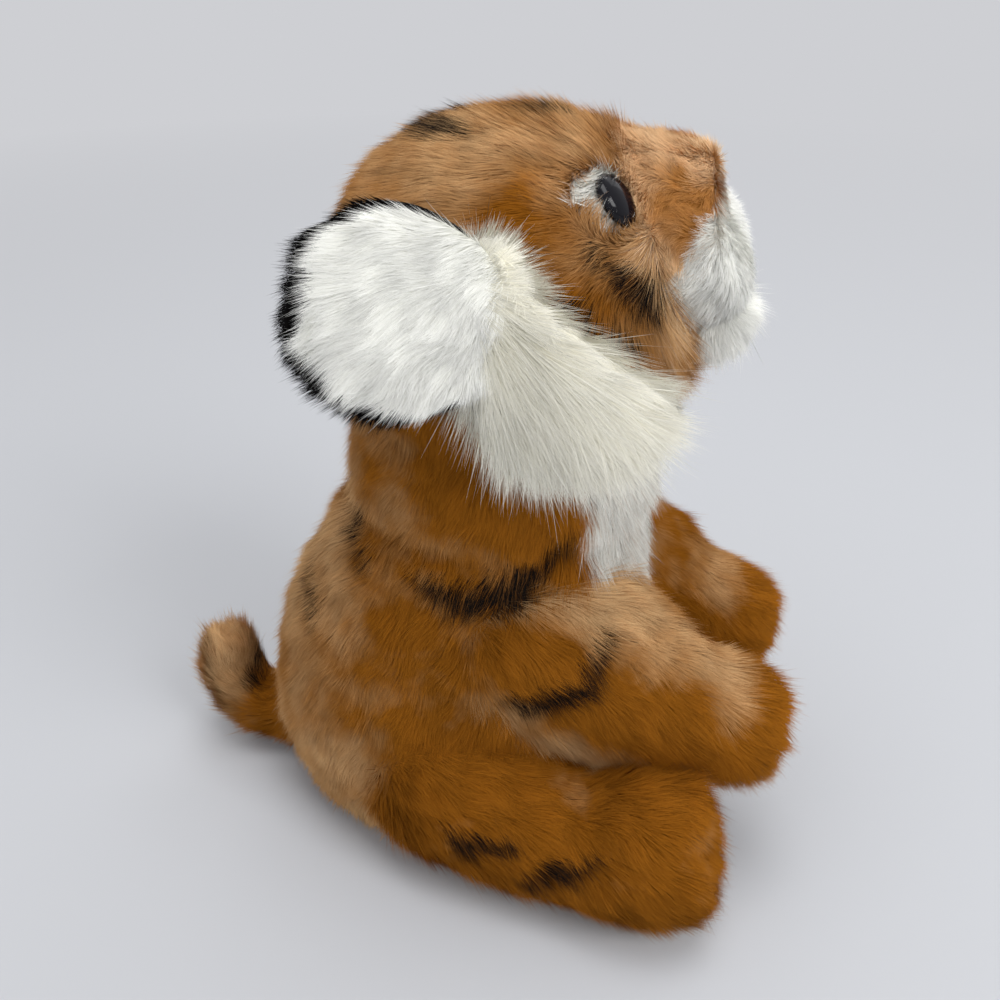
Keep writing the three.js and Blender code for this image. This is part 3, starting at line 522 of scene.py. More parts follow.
@dataclass
class Graph:
    """The nodes of a material or a world, with a short way to add each kind."""

    owner: Material | bpy.types.World
    nodes: bpy.types.Nodes
    links: bpy.types.NodeLinks
    shader: bpy.types.Node

    @classmethod
    def start(cls, name: str) -> "Graph":
        """A new material with a principled shader."""
        return cls.of(bpy.data.materials.new(name), "Principled BSDF")

    @classmethod
    def of(cls, owner: Material | bpy.types.World, shader: str) -> "Graph":
        """The nodes of a new material or world, whose shader has the name given."""
        owner.use_nodes = True
        tree = owner.node_tree
        return cls(owner, tree.nodes, tree.links, tree.nodes[shader])

    def feed(self, socket: Socket, value: object) -> None:
        """Links a socket, or sets its constant."""
        if isinstance(value, Socket):
            self.links.new(value, socket)
        else:
            socket.default_value = value

    def add(
        self, kind: str, feeds: dict[int | str, object], out: int | str = 0, **settings: str
    ) -> Socket:
        """Adds a node.

        Args:
            kind: its type, without the words at the start that all types share.
            feeds: what its inputs take, by their numbers or names.
            out: which of its outputs is wanted.
            settings: its own settings.

        Returns:
            The output.
        """
        node = self.nodes.new("ShaderNode" + kind)
        for key, value in settings.items():
            setattr(node, key, value)
        for key, value in feeds.items():
            self.feed(node.inputs[key], value)
        return node.outputs[out]

    def attribute(self, key: str) -> Socket:
        """One of the piece's attributes, nothing where it has none of that name."""
        return self.add("Attribute", {}, "Fac", attribute_name=key)

    def place(self) -> Socket:
        """The place on the object, in metres."""
        return self.add("TexCoord", {}, "Object")

    def noise(self, scale: float, detail: float) -> Socket:
        """A noise over the object's own coordinates."""
        return self.add("TexNoise", {"Scale": scale, "Detail": detail, "Vector": self.place()}, "Fac")

    def math(self, kind: str, a: object, b: object) -> Socket:
        """Two numbers put together."""
        return self.add("Math", {0: a, 1: b}, operation=kind)

    def clamp(self, value: object) -> Socket:
        """A number kept between zero and one."""
        return self.add("Clamp", {0: value})

    def remap(self, value: object, from_: Sequence[float], to: Sequence[float]) -> Socket:
        """A number moved from one range to another, and kept inside it."""
        ends = dict(zip(("From Min", "From Max", "To Min", "To Max"), (*from_, *to)))
        return self.add("MapRange", {**ends, "Value": value}, "Result")

    def mix(self, factor: object, a: object, b: object) -> Socket:
        """Two colours mixed by a factor."""
        return self.add("Mix", {0: factor, 6: a, 7: b}, 2, data_type="RGBA")

    def mix_shaders(self, factor: object, a: object, b: object) -> Socket:
        """Two shaders mixed by a factor."""
        return self.add("MixShader", {0: factor, 1: a, 2: b})

    def ray(self, kind: str) -> Socket:
        """Whether a ray is of a kind."""
        return self.add("LightPath", {}, f"Is {kind} Ray")

    def brightened(self, colour: object, value: object) -> Socket:
        """A colour made brighter or darker."""
        return self.add("HueSaturation", {"Value": value, "Color": colour}, "Color")

    def bump(self, height: object, distance: float) -> None:
        """Raises the surface by a height, in metres."""
        normal = self.add("Bump", {"Distance": distance, "Height": height}, "Normal")
        self.feed(self.shader.inputs["Normal"], normal)

    def surface(self, colour: object, **values: float) -> None:
        """The shader's colour and its constants."""
        self.feed(self.shader.inputs["Base Color"], colour)
        for name, value in values.items():
            self.shader.inputs[name.replace("_", " ")].default_value = value

    def finish_pile(self, colour: object, backing: bool) -> None:
        """Makes it matt fibre, or the knitted cloth behind it."""
        self.surface(colour, Roughness=0.95, Specular_IOR_Level=0.04)
        if backing:
            self.bump(self.noise(900, 2), 0.0008)


# Each finish's root colour is darker than its body, partly as painted shade deep in the pile.
GOLD = PileFinish("gold", "gold_pile", (108, 58, 5), (164, 102, 28), (214, 176, 128), grain=0.34)
BROWN = PileFinish("brown", "brown_pile", (140, 88, 34), (196, 138, 78), (232, 198, 156))
WHITE = PileFinish(
    "white", "white_pile", (226, 226, 218), (250, 250, 246), (232, 232, 228), stripe=(170, 110, 56)
)
IVORY = PileFinish("ivory", "ivory_pile", (214, 210, 192), (247, 245, 234), (190, 146, 122), grain=0.0)
BLACK = PileFinish("black", "black_pile", (12, 11, 11), (24, 22, 22), (44, 42, 44))


# Surfaces


@dataclass
class Surface:
    """A closed grid of points whose first and last rows are poles, with what grows on it."""

    points: Array
    comb: Array | None = None
    cover: Array | None = None
    fields: dict[str, Array] = field(default_factory=dict)

    def edges(self) -> tuple[Array, Array]:
        """The steps from each point to the next, round its section and along the form."""
        p = self.points
        return np.roll(p, -1, 1)[:-1] - p[:-1], p[1:] - p[:-1]

    def calmed(self, passes: int) -> Array:
        """The normals, each averaged with its neighbours' as many times as there are passes.

        Args:
            passes: how often they are averaged.

        Returns:
            A normal for each point.
        """
        n = self.normals()
        for _ in range(passes):
            n = (np.roll(n, 1, 1) + 2 * n + np.roll(n, -1, 1)) / 4
            n = np.concatenate([n[:1], (n[:-2] + 2 * n[1:-1] + n[2:]) / 4, n[-1:]])
        return n

    def normals(self) -> Array:
        """Outward normals, from the grid's slopes both ways."""
        round_it = np.roll(self.points, -1, 1) - np.roll(self.points, 1, 1)
        along_it = np.gradient(self.points, axis=0)
        n = np.cross(round_it, along_it)
        n[0] = -unit(self.points[2].mean(0) - self.points[0].mean(0))
        n[-1] = -unit(self.points[-3].mean(0) - self.points[-1].mean(0))
        n = unit(n)
        out = self.points - self.points.mean(axis=1, keepdims=True)
        if np.sum(n[2:-2] * out[2:-2]) < 0:
            n[1:-1] = -n[1:-1]
        return n

    def mirrored(self) -> "Surface":
        """The same surface on the other side, with its columns turned round."""
        return Surface(
            self.points[:, ::-1] * MIRROR,
            None if self.comb is None else self.comb[:, ::-1] * MIRROR,
            None if self.cover is None else self.cover[:, ::-1],
            {k: v[:, ::-1] for k, v in self.fields.items()},
        )

    def seen(self, pile: Pile) -> Array:
        """Where the upper parts of the strands lie that are rooted at the grid's points.

        Args:
            pile: the pile's length and lean.

        Returns:
            A place for each point.
        """
        upright = self.fields.get("upright", np.zeros(self.points.shape[:2]))
        lean = math.radians(pile.lean) * (1 - upright)[..., None]
        way = self.normals() * np.cos(lean) + self.comb * np.sin(lean)
        return self.points + way * pile.length * 0.75

    def swell(self, reach: float, *others: Form, inset: float = PILE_INSET) -> None:
        """Pushes the surface out where other forms are near, one by one, so that they run together.

        A point moves along its normal by h² times a quarter of the reach, where h falls from one
        to nothing as the distance to the other form grows to the reach.

        Args:
            reach: how near the other forms have to be.
            others: those forms.
            inset: how far their surfaces are pulled in.
        """
        for other in others:
            near = np.clip(1 - np.abs(other.distance(self.points, inset)) / reach, 0, 1)
            self.points = self.points + self.normals() * (near**2 * reach / 4)[..., None]

    def dent(self, lines: Array, depth: float, width: float) -> None:
        """Draws the surface in along a thread, by the depth times exp(-(distance/width)²).

        Args:
            lines: points of the thread.
            depth: how deep the dent is.
            width: how fast it fades.
        """
        flat = self.points.reshape(-1, 1, 3)
        gap = np.linalg.norm(flat - lines[None], axis=-1).min(axis=1)
        gap = gap.reshape(*self.points.shape[:2], 1)
        self.points = self.points - self.normals() * depth * np.exp(-((gap / width) ** 2))

    def settle(self) -> None:
        """Flattens what lies below the floor's height."""
        self.points = self.points.copy()
        self.points[..., 2] = np.maximum(self.points[..., 2], CLOTH_FLOOR)

    def brush(self, ways: Array) -> None:
        """Combs the surface along the ways given at its points, laid down on it."""
        n = self.normals()
        self.comb = unit(ways - n * np.sum(ways * n, -1, keepdims=True))

    def keep_clear(self, *others: Form, inset: float = PILE_INSET) -> None:
        """Notes how far outside other forms, pulled in by an inset, each point lies at the least.

        Args:
            others: the other forms.
            inset: how far their surfaces are pulled in.
        """
        gaps = [form.distance(self.points, inset) + SPARE for form in others]
        self.cover = np.minimum.reduce(gaps if self.cover is None else [self.cover, *gaps])

    def shave(self, where: Array) -> None:
        """Lets no pile grow where this is true."""
        self.cover = np.where(where, -1, self.cover)


def surface_mesh(name: str, surface: Surface) -> Object:
    """The closed skin of a surface, as one object with its grid as its own map.

    Args:
        name: the object's name.
        surface: the points, with the fields that colour them.

    Returns:
        The object.
    """
    p = surface.points
    rows, columns = p.shape[:2]
    inner = p[1:-1].reshape(-1, 3)
    verts = np.vstack([p[0, :1], inner, p[-1, :1]]) * MM
    i = np.arange(columns)
    j = (i + 1) % columns
    last = len(verts) - 1
    ring = 1 + np.arange(rows - 3)[:, None] * columns
    quads = np.stack([ring + i, ring + j, ring + columns + j, ring + columns + i], -1).reshape(-1, 4)
    first = np.stack([np.zeros_like(i), 1 + j, 1 + i], -1)
    end = 1 + (rows - 3) * columns
    final = np.stack([np.full_like(i, last), end + i, end + j], -1)
    n = surface.normals()[1:-1].reshape(-1, 3)
    a, b, c = (verts[quads[:, k]] for k in range(3))
    if np.sum(np.cross(b - a, c - a) * n[quads[:, 0] - 1]) < 0:
        quads, first, final = quads[:, ::-1], first[:, ::-1], final[:, ::-1]
    loops = np.concatenate([quads.ravel(), first.ravel(), final.ravel()])
    sizes = np.concatenate([np.full(len(quads), 4), np.full(2 * columns, 3)])
    mesh = bpy.data.meshes.new(name)
    fill_mesh(mesh, verts, loops, sizes)
    uv = skin_map(rows, columns, loops, sizes)
    mesh.uv_layers.new(name="OFBake").data.foreach_set("uv", uv.ravel().astype(np.float32))
    for key, values in surface.fields.items():
        flat = np.concatenate([values[0, :1], values[1:-1].ravel(), values[-1, :1]])
        set_field(mesh, key, flat)
    set_field(mesh, "tip", np.full(len(verts), 0.2))
    set_field(mesh, "shade", np.full(len(verts), 0.5))
    return add_object(name, mesh)


def skin_map(rows: int, columns: int, loops: Array, sizes: Array) -> Array:
    """The skin's grid as a map, its columns across and its rows up, that doesn't tear at its seam.

    Args:
        rows: the grid's rows.
        columns: its columns.
        loops: the point at each corner of each face.
        sizes: how many corners each face has.

    Returns:
        A place on the map for each corner.
    """
    last = (rows - 2) * columns + 1
    across, up = np.zeros((2, last + 1))
    across[1:-1] = np.tile(np.arange(columns) / columns, rows - 2)
    up[1:-1] = np.repeat(np.arange(1, rows - 1) / (rows - 1), columns)
    up[-1] = 1
    uv = np.stack([across[loops], up[loops]], -1)
    starts = np.concatenate([[0], np.cumsum(sizes)[:-1]])
    top = np.maximum.reduceat(uv[:, 0], starts)
    wrap = np.repeat(top > 0.9, sizes) & (uv[:, 0] < 0.1)
    uv[:, 0] = 0.01 + 0.98 * (uv[:, 0] + wrap)
    pole = (loops == 0) | (loops == last)
    others = np.maximum(np.add.reduceat((~pole).astype(float), starts), 1)
    middle = np.add.reduceat(uv[:, 0] * ~pole, starts) / others
    uv[pole, 0] = np.repeat(middle, sizes)[pole]
    return uv


def fill_mesh(mesh: bpy.types.Mesh, verts: Array, loops: Array, sizes: Array) -> None:
    """Puts vertices and faces into a mesh, as whole arrays, and shades it smooth.

    Args:
        mesh: an empty mesh.
        verts: its points, in metres.
        loops: the point at each corner of each face.
        sizes: how many corners each face has.
    """
    starts = np.concatenate([[0], np.cumsum(sizes)[:-1]])
    mesh.vertices.add(len(verts))
    mesh.vertices.foreach_set("co", np.ascontiguousarray(verts, np.float32).ravel())
    mesh.loops.add(len(loops))
    mesh.loops.foreach_set("vertex_index", loops.astype(np.int32))
    mesh.polygons.add(len(sizes))
    mesh.polygons.foreach_set("loop_start", starts.astype(np.int32))
    mesh.polygons.foreach_set("use_smooth", np.ones(len(sizes), bool))
    mesh.update(calc_edges=True)


def set_field(mesh: bpy.types.Mesh, key: str, values: Array) -> None:
    """Stores one number a vertex under a name."""
    layer = mesh.attributes.new(key, "FLOAT", "POINT")
    layer.data.foreach_set("value", values.astype(np.float32))


def add_object(name: str, mesh: bpy.types.Mesh) -> Object:
    """A linked object for a mesh."""
    obj = bpy.data.objects.new(name, mesh)
    bpy.context.scene.collection.objects.link(obj)
    return obj


@dataclass
class Strands:
    """Strands of pile as arrays: their points, their flat sides, and what colours them."""

    points: Array
    sides: Array
    normals: Array
    fields: dict[str, Array]

    def neighbours(self) -> Array:
        """An order by height in bands, and round the middle in each band."""
        roots = self.points[:, 0]
        n = len(roots)
        order = np.argsort(roots[:, 2], kind="stable")
        band = np.empty(n, int)
        band[order] = np.arange(n) // math.ceil(math.sqrt(n))
        x, y = (roots[:, :2] - roots[:, :2].mean(0)).T
        return np.lexsort((np.arctan2(y, x), band))

    def taken(self, keep: Array) -> "Strands":
        """Only the strands that are kept."""
        kept = {k: v[keep] for k, v in self.fields.items()}
        return Strands(self.points[keep], self.sides[keep], self.normals[keep], kept)

    def object(self, name: str) -> Object:
        """The strands as flat tapering blades, in one object.

        Each blade is a row of pairs of points either side of its middle line, and one point at its
        tip. On its map, each strand has a cell of its own, beside those that grow near it.

        Args:
            name: the object's name.

        Returns:
            The object.
        """
        near = self.taken(self.neighbours())
        n, steps = near.points.shape[:2]
        pairs = steps - 1
        left = near.points[:, :-1] - near.sides
        right = near.points[:, :-1] + near.sides
        body = np.stack([left, right], 2).reshape(n, pairs * 2, 3)
        verts = np.concatenate([body, near.points[:, -1:]], 1).reshape(-1, 3) * MM
        each = pairs * 2 + 1
        quads = [[2 * k, 2 * k + 1, 2 * k + 3, 2 * k + 2] for k in range(pairs - 1)]
        one = np.array([v for q in quads for v in q] + [2 * pairs - 2, 2 * pairs - 1, 2 * pairs])
        loops = (np.arange(n)[:, None] * each + one).ravel()
        sizes = np.tile([4] * (pairs - 1) + [3], n)
        mesh = bpy.data.meshes.new(name)
        fill_mesh(mesh, verts, loops, sizes)
        cells = math.ceil(math.sqrt(n))
        cell = np.stack([np.arange(n) % cells, np.arange(n) // cells], -1)
        row_sizes = [2] * pairs + [1]
        steps_up = np.repeat(np.linspace(0.12, 0.88, steps), row_sizes)
        steps_side = np.array([0.15, 0.85] * pairs + [0.5])
        at = (cell[:, None] + np.stack([steps_side, steps_up], -1)) / cells
        uv = at.reshape(-1, 2)[loops]
        mesh.uv_layers.new(name="OFBake").data.foreach_set("uv", uv.ravel().astype(np.float32))
        set_field(mesh, "tip", np.tile(np.repeat(np.linspace(0, 1, steps), row_sizes), n))
        for key, values in near.fields.items():
            set_field(mesh, key, np.repeat(values, each))
        normals = np.repeat(near.normals, row_sizes, 1)
        mesh.normals_split_custom_set_from_vertices(normals.reshape(-1, 3).astype(np.float32))
        return add_object(name, mesh)


def sample(table: Array, y: Array, x: Array) -> Array:
    """A closed grid's values between its points, at places given as rows and columns.

    Args:
        table: the grid's values.
        y: the rows, with their fractions.
        x: the columns, with theirs.

    Returns:
        A value for each place.
    """
    rows, columns = table.shape[:2]
    y = np.clip(y, 0, rows - 1.001)
    y0, x0 = y.astype(int), np.floor(x).astype(int)
    fy, fx = y - y0, x - x0
    if table.ndim == 3:
        fy, fx = fy[:, None], fx[:, None]
    x0, x1 = x0 % columns, (x0 + 1) % columns
    low = table[y0, x0] * (1 - fx) + table[y0, x1] * fx
    return low * (1 - fy) + (table[y0 + 1, x0] * (1 - fx) + table[y0 + 1, x1] * fx) * fy


SLOW_WAVE, CROSS_WAVE = np.array([0.11, 0.17, 0.13]), np.array([0.23, -0.14, 0.19])


@dataclass
class Growth:
    """A pile as it grows on a surface, thinned to a share of its strands.

    Roots are spread evenly by area. A strand leaves its root between the normal and the way that
    the surface is combed, bends on along the comb, and leans towards the tip of its clump.
    """

    surface: Surface
    pile: Pile
    rng: np.random.Generator
    thin: float

    def value(self, key: str, usual: float, y: Array, x: Array) -> Array:
        """One of the surface's fields at places on the grid, or what is usual if it has none."""
        table = self.surface.fields.get(key, np.full(self.surface.cover.shape, usual))
        return sample(table, y, x)

    def roots(self) -> tuple[Array, Array]:
        """The rows and columns, with their fractions, at which strands are rooted."""
        cover = self.surface.cover
        round_it, along_it = self.surface.edges()
        bare = self.surface.fields.get("bare", np.zeros(cover.shape))
        open_cell = (cover[:-1] > 0) | (cover[1:] > 0)
        weight = np.linalg.norm(np.cross(round_it, along_it), axis=-1) * (1 - bare[:-1]) * open_cell
        count = int(weight.sum() * self.pile.density * self.thin)
        ladder = np.cumsum(weight.ravel())
        pick = np.searchsorted(ladder, self.rng.random(count) * ladder[-1])
        j, i = np.divmod(np.minimum(pick, weight.size - 1), cover.shape[1])
        y, x = j + self.rng.random(count), i + self.rng.random(count)
        kept = sample(cover, y, x) > 0
        return y[kept], x[kept]

    def clumps(self, y: Array, x: Array) -> tuple[Array, Array, Array]:
        """Each strand's clump: four numbers of its luck, and the row and column of its root.

        Args:
            y: the rows of the strands' roots.
            x: their columns.

        Returns:
            The luck, the rows and the columns.
        """
        table = self.rng.random((256, 256, 4))
        wide, high = (np.linalg.norm(edge, axis=-1).mean() for edge in self.surface.edges())
        step_y, step_x = self.pile.clump / high, self.pile.clump / wide
        row = np.floor(y / step_y + self.rng.normal(0, 0.25, len(y))).astype(int)
        column = np.floor(x / step_x + self.rng.normal(0, 0.25, len(y))).astype(int)
        lucky = table[row % 256, column % 256]
        middle = 0.2 + 0.6 * lucky
        return lucky, (row + middle[:, 0]) * step_y, (column + middle[:, 1]) * step_x

    def start(self, y: Array, x: Array, length: Array, twist: Array, lean: Array) -> tuple[Array, ...]:
        """Where strands are rooted, the normal and comb there, and their straight run.

        Args:
            y: the rows of their roots.
            x: the columns of their roots.
            length: how long they are.
            twist: how far they turn aside from the comb.
            lean: their lean from the normal, in radians.

        Returns:
            The roots, the normals, the combed ways and the runs.
        """
        normal = unit(sample(self.surface.normals(), y, x))
        way = unit(sample(self.surface.comb, y, x))
        way = unit(way + np.cross(normal, way) * twist[:, None])
        first = unit(normal * np.cos(lean)[:, None] + way * np.sin(lean)[:, None])
        return sample(self.surface.points, y, x), normal, way, first * length[:, None]

    def paths(self, y: Array, x: Array, lucky: Array, clump: tuple[Array, Array]) -> tuple[Array, Array]:
        """The strands' points, and the normals at their roots.

        Args:
            y: the rows of their roots.
            x: the columns of their roots.
            lucky: the luck of their clumps.
            clump: the rows and columns of their clumps' roots.

        Returns:
            Rows of points, root first, and a normal for each strand.
        """
        pile, n = self.pile, len(y)
        lean = math.radians(pile.lean) * (1 - self.value("upright", 0, y, x))
        here = sample(self.surface.points, y, x) * pile.ripple
        wave = np.sin(here @ SLOW_WAVE) * np.sin(here @ CROSS_WAVE) * 1.4 + (lucky[:, 2] - 0.5) * 0.8
        length = pile.length * (1 + pile.uneven * self.rng.normal(size=n)).clip(0.5, 1.5)
        length = length * (1 - pile.clump_uneven / 2 + pile.clump_uneven * lucky[:, 3])
        length = length * self.value("length", 1, y, x)
        root, normal, way, span = self.start(y, x, length, pile.curl * wave, lean)
        twist = pile.curl * (wave + lucky[:, 2] - 0.5)
        clump_root, _, _, clump_span = self.start(*clump, length, twist, lean)
        jitter = self.rng.normal(0, pile.spread, (n, 3)) * length[:, None]
        s = np.linspace(0, 1, pile.segments + 1)[None, :, None]
        bend = (way * pile.bend - normal * pile.sink + DOWN * pile.droop) * length[:, None]
        gather = clump_root + clump_span - root - span
        far = np.linalg.norm(gather, axis=1, keepdims=True)
        gather = gather * np.minimum(1, 1.2 * pile.clump / np.maximum(far, 1e-6))
        points = root[:, None] + span[:, None] * s + bend[:, None] * s**2
        points = points + jitter[:, None] * s**1.5 * 0.8 + gather[:, None] * pile.pull * s**1.7
        points[..., 2] = np.maximum(points[..., 2], STRAND_FLOOR)
        return points, normal

    def colours(self, y: Array, x: Array, lucky: Array) -> dict[str, Array]:
        """What colours the strands: a shade each, and whether they are pale, striped or white.

        Args:
            y: the rows of their roots.
            x: the columns of their roots.
            lucky: the luck of their clumps.

        Returns:
            A number for each strand under each name.
        """
        shade = 0.5 + self.pile.tint * self.rng.normal(size=len(y)) + 0.5 * (lucky[:, 3] - 0.5)
        fields = {"shade": np.clip(shade, 0, 1)}
        if "pale" in self.surface.fields:
            fields["pale"] = self.value("pale", 0, y, x)
        for key in ("stripe", "white"):
            if key in self.surface.fields:
                level = self.value(key, 0, y, x)
                dice = self.rng.random(len(y))
                fields[key] = np.clip((level - dice) * 1.8 + 0.5, 0, 1) * np.clip(level * 3, 0, 1)
        return fields

    def grow(self) -> Strands:
        """Grows the strands, as flat blades that turn their faces about and taper to their tips."""
        pile = self.pile
        y, x = self.roots()
        n = len(y)
        lucky, *clump = self.clumps(y, x)
        points, normal = self.paths(y, x, lucky, clump)
        run = np.gradient(points, axis=1)
        flat = unit(np.cross(run, normal[:, None] + self.rng.normal(0, 0.3, (n, 1, 3))))
        share = np.linspace(0, 1, pile.segments + 1)[None, :-1]
        widths = pile.width * (0.7 + 0.6 * self.rng.random((n, 1))) * (1 - pile.taper * share)
        blade = unit(np.cross(flat, run))
        blade = blade * np.sign(np.sum(blade * normal[:, None], -1, keepdims=True) + 1e-9)
        calm = unit(sample(self.surface.calmed(pile.calm), y, x))
        shading = unit(calm[:, None] + blade * pile.blade)
        sides = flat[:, :-1] * widths[..., None] / 2
        return Strands(points, sides, shading, self.colours(y, x, lucky))


# Markings


@dataclass(frozen=True)
class Stripe:
    """A soft dark stripe along a row of points, in millimetres, on the tiger's right side."""

    points: tuple[Triple, ...]
    width: float
    soft: float = 4.0
    depth: float = 1.0

    def mask(self, at: Array) -> Array:
        """How dark the stripe is at each point: full in its middle, fading over its soft edge.

        The distance is the least to the lines between its points, and the width tapers to its ends.

        Args:
            at: points on either side of the tiger.

        Returns:
            A number from nothing to the stripe's depth for each point.
        """
        flat = at.reshape(-1, 3)
        flat = np.concatenate([-np.abs(flat[:, :1]), flat[:, 1:]], 1)
        line = np.array(self.points, float)
        best = np.full(len(flat), FAR_AWAY)
        ripple = 0.5 * np.sin(flat @ np.array([0.9, 0.7, 0.8]))
        ripple = ripple + 0.4 * np.sin(flat @ np.array([-0.4, 1.3, 0.6]))
        runs = len(line) - 1
        for k in range(runs):
            a, b = line[k], line[k + 1]
            t = np.clip((flat - a) @ (b - a) / np.sum((b - a) ** 2), 0, 1)
            gap = np.linalg.norm(flat - (a + t[:, None] * (b - a)), axis=1)
            share = (k + t) / runs
            half = self.width / 2 * np.sqrt(np.clip(4 * share * (1 - share), 0.02, 1)) ** 0.8
            best = np.minimum(best, gap - half + ripple)
        return (self.depth * smooth(self.soft * 0.6, -self.soft * 0.4, best)).reshape(at.shape[:-1])


def striped(at: Array, stripes: Sequence[Stripe]) -> Array:
    """The darkest of several stripes at each point.

    Args:
        at: points on either side of the tiger.
        stripes: the stripes.

    Returns:
        A number for each point.
    """
    found = np.zeros(at.shape[:-1])
    for stripe in stripes:
        found = np.maximum(found, stripe.mask(at))
    return found


TORSO_STRIPES = (
    Stripe(
        ((-47, 1, 118), (-49, -11, 115), (-50, -20, 115), (-49, -31, 119), (-45, -41, 126),
         (-38, -48, 136)), 9.0, 6.0,
    ),
    Stripe(((-14, 32, 130), (-22, 28, 126), (-32, 24, 120), (-40, 18, 113)), 6.0, 6.0, 0.6),
    Stripe(((-14, 48, 102), (-24, 45, 97), (-33, 40, 92), (-38, 39, 84)), 6.0, 6.0, 0.6),
    Stripe(((-6, 58, 70), (-20, 56, 64), (-34, 46, 58)), 6.0, 6.0, 0.55),
)
FORELEG_STRIPES = (
    Stripe(
        ((-56, -25, 83), (-59, -35, 82), (-60, -47, 86), (-58, -54, 91), (-55, -58, 98),
         (-49, -59, 106)), 7.5, 5.0,
    ),
)
HIND_LEG_STRIPES = (
    Stripe(((-72, -12, 37), (-75, -18, 34), (-77, -28, 35), (-76, -37, 39)), 5.5, 4.0),
    Stripe(((-73, -13, 36), (-77, -21, 26)), 4.0, 4.0, 0.8),
    Stripe(((-79, -37, 22), (-81, -49, 30), (-82, -62, 42)), 6.0, 4.0),
)
TAIL_STRIPES = (
    Stripe(((-12, 77, 28), (-9, 77, 33), (-1, 77, 40), (6, 75, 43)), 6.0, 5.0, 0.85),
)
CHEEK_TANS = (
    Stripe(
        ((-29, -61, 228), (-31, -65, 223), (-30, -70, 217), (-30, -75, 209), (-32, -76, 202),
         (-32, -74, 192)), 15.0, 10.0,
    ),
)
HEAD_STRIPES = (
    Stripe(((-43, -47, 227), (-42, -51, 224), (-41, -54, 221)), 5.0, 6.0, 0.6),
    Stripe(
        ((-40, -56, 220), (-39, -59, 216), (-38, -64, 212), (-37, -68, 208), (-37, -70, 205)),
        8.5, 7.0, 0.85,
    ),
    Stripe(
        ((-49, -42, 215), (-48, -46, 211), (-47, -50, 207), (-45, -55, 203), (-42, -60, 200),
         (-38, -66, 196)), 5.0, 5.0, 0.9,
    ),
    Stripe(((-2, 6, 247), (-9, 0, 250), (-18, -9, 251)), 11.0, 7.0, 0.9),
    Stripe(((1, -19, 252), (-3, -30, 254), (-1, -40, 252)), 8.0, 6.0, 0.75),
)


# Stitches

STITCH_DEPTH = 6.5


def node_points(node: str) -> Array:
    """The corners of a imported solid, in millimetres."""
    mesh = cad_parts[node].data
    co = np.empty(len(mesh.vertices) * 3, np.float32)
    mesh.vertices.foreach_get("co", co)
    return co.reshape(-1, 3) / MM


def sink_thread(node: str, body: str, form: Form) -> None:
    """A toe's stitch, drawn into the paw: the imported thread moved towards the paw's middle.

    Args:
        node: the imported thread.
        body: the body that it rides on.
        form: the leg's form.
    """
    points = node_points(node)
    points = points + unit(form.spine[-1] - points) * STITCH_DEPTH
    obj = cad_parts[node].copy()
    obj.data = obj.data.copy()
    obj.name = node.replace("thread", "stitch")
    obj.data.vertices.foreach_set("co", (points * MM).ravel().astype(np.float32))
    bpy.context.scene.collection.objects.link(obj)
    obj.data.materials.clear()
    obj.data.materials.append(thread_finish("brown_stitch", (70, 42, 14)))
    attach(obj, body)
    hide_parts(node)


def thread_finish(name: str, colour: tuple[int, int, int]) -> Material:
    """Twisted sewing thread of one colour, made once.

    Args:
        name: the finish's name.
        colour: its lightest colour.

    Returns:
        The material.
    """
    made = bpy.data.materials.get(name)
    if made:
        return made
    g = Graph.start(name)
    dark = tuple(int(0.6 * c) for c in colour)
    g.surface(g.mix(g.noise(1500, 2), linear(*dark), linear(*colour)), Roughness=0.8)
    return g.owner


# Sub-assemblies

MOST_FACES = 196000
UNDERSIDE = 1.2

BODY_PILE = Pile(length=8.6)
SHORT_PILE = Pile(length=3.8, lean=48, density=11, width=0.26, clump=2.4, spread=0.2, pull=0.4, curl=0.9)
SLEEK_PILE = replace(SHORT_PILE, curl=0.3, pull=0.2)
CHIN_PILE = replace(SLEEK_PILE, length=6.5, clump=3.5, pull=0.5)
EAR_PILE = Pile(length=7.0, lean=58, density=13.0, width=0.24, clump=3.5, pull=0.25, undercoat=0.12)
EAR_BACK_PILE = replace(EAR_PILE, length=4.5, lean=66, spread=0.08, pull=0.12)
RUFF_PILE = Pile(
    length=20, lean=68, density=10.0, width=0.22, segments=2, spread=0.12, clump=3.2, pull=0.18, droop=0.08,
    curl=0.42, ripple=2.6, calm=60, undercoat=0.12,
)

# How far the ruff's tips reach from the point that they fan out of: bearing in degrees, and millimetres
RUFF_REACH = (
    (-125, 20), (-108, 31), (-101, 50), (-91, 59), (-85, 64), (-71, 69), (-60, 72), (-56, 66), (-51, 43),
    (-41, 25), (-20, 16), (11, 15), (28, 16), (65, 14), (110, 10),
)


class Side(Enum):
    """The tiger's sides. A form is made for the right side and mirrored for the left."""

    RIGHT = "right"
    LEFT = "left"

    def of(self, made: Form | Surface) -> Form | Surface:
        """A form or surface of the right side, as it is on this side."""
        return made if self is Side.RIGHT else made.mirrored()


def both(form: Form) -> list[Form]:
    """A form on both sides."""
    return [side.of(form) for side in Side]


@dataclass(frozen=True)
class Fade:
    """A soft step along a measure, from nothing to its strength."""

    start: float
    stop: float
    strength: float = 1.0

    def at(self, values: Array) -> Array:
        """How much of it there is: the strength times the smooth step."""
        return self.strength * smooth(self.start, self.stop, values)


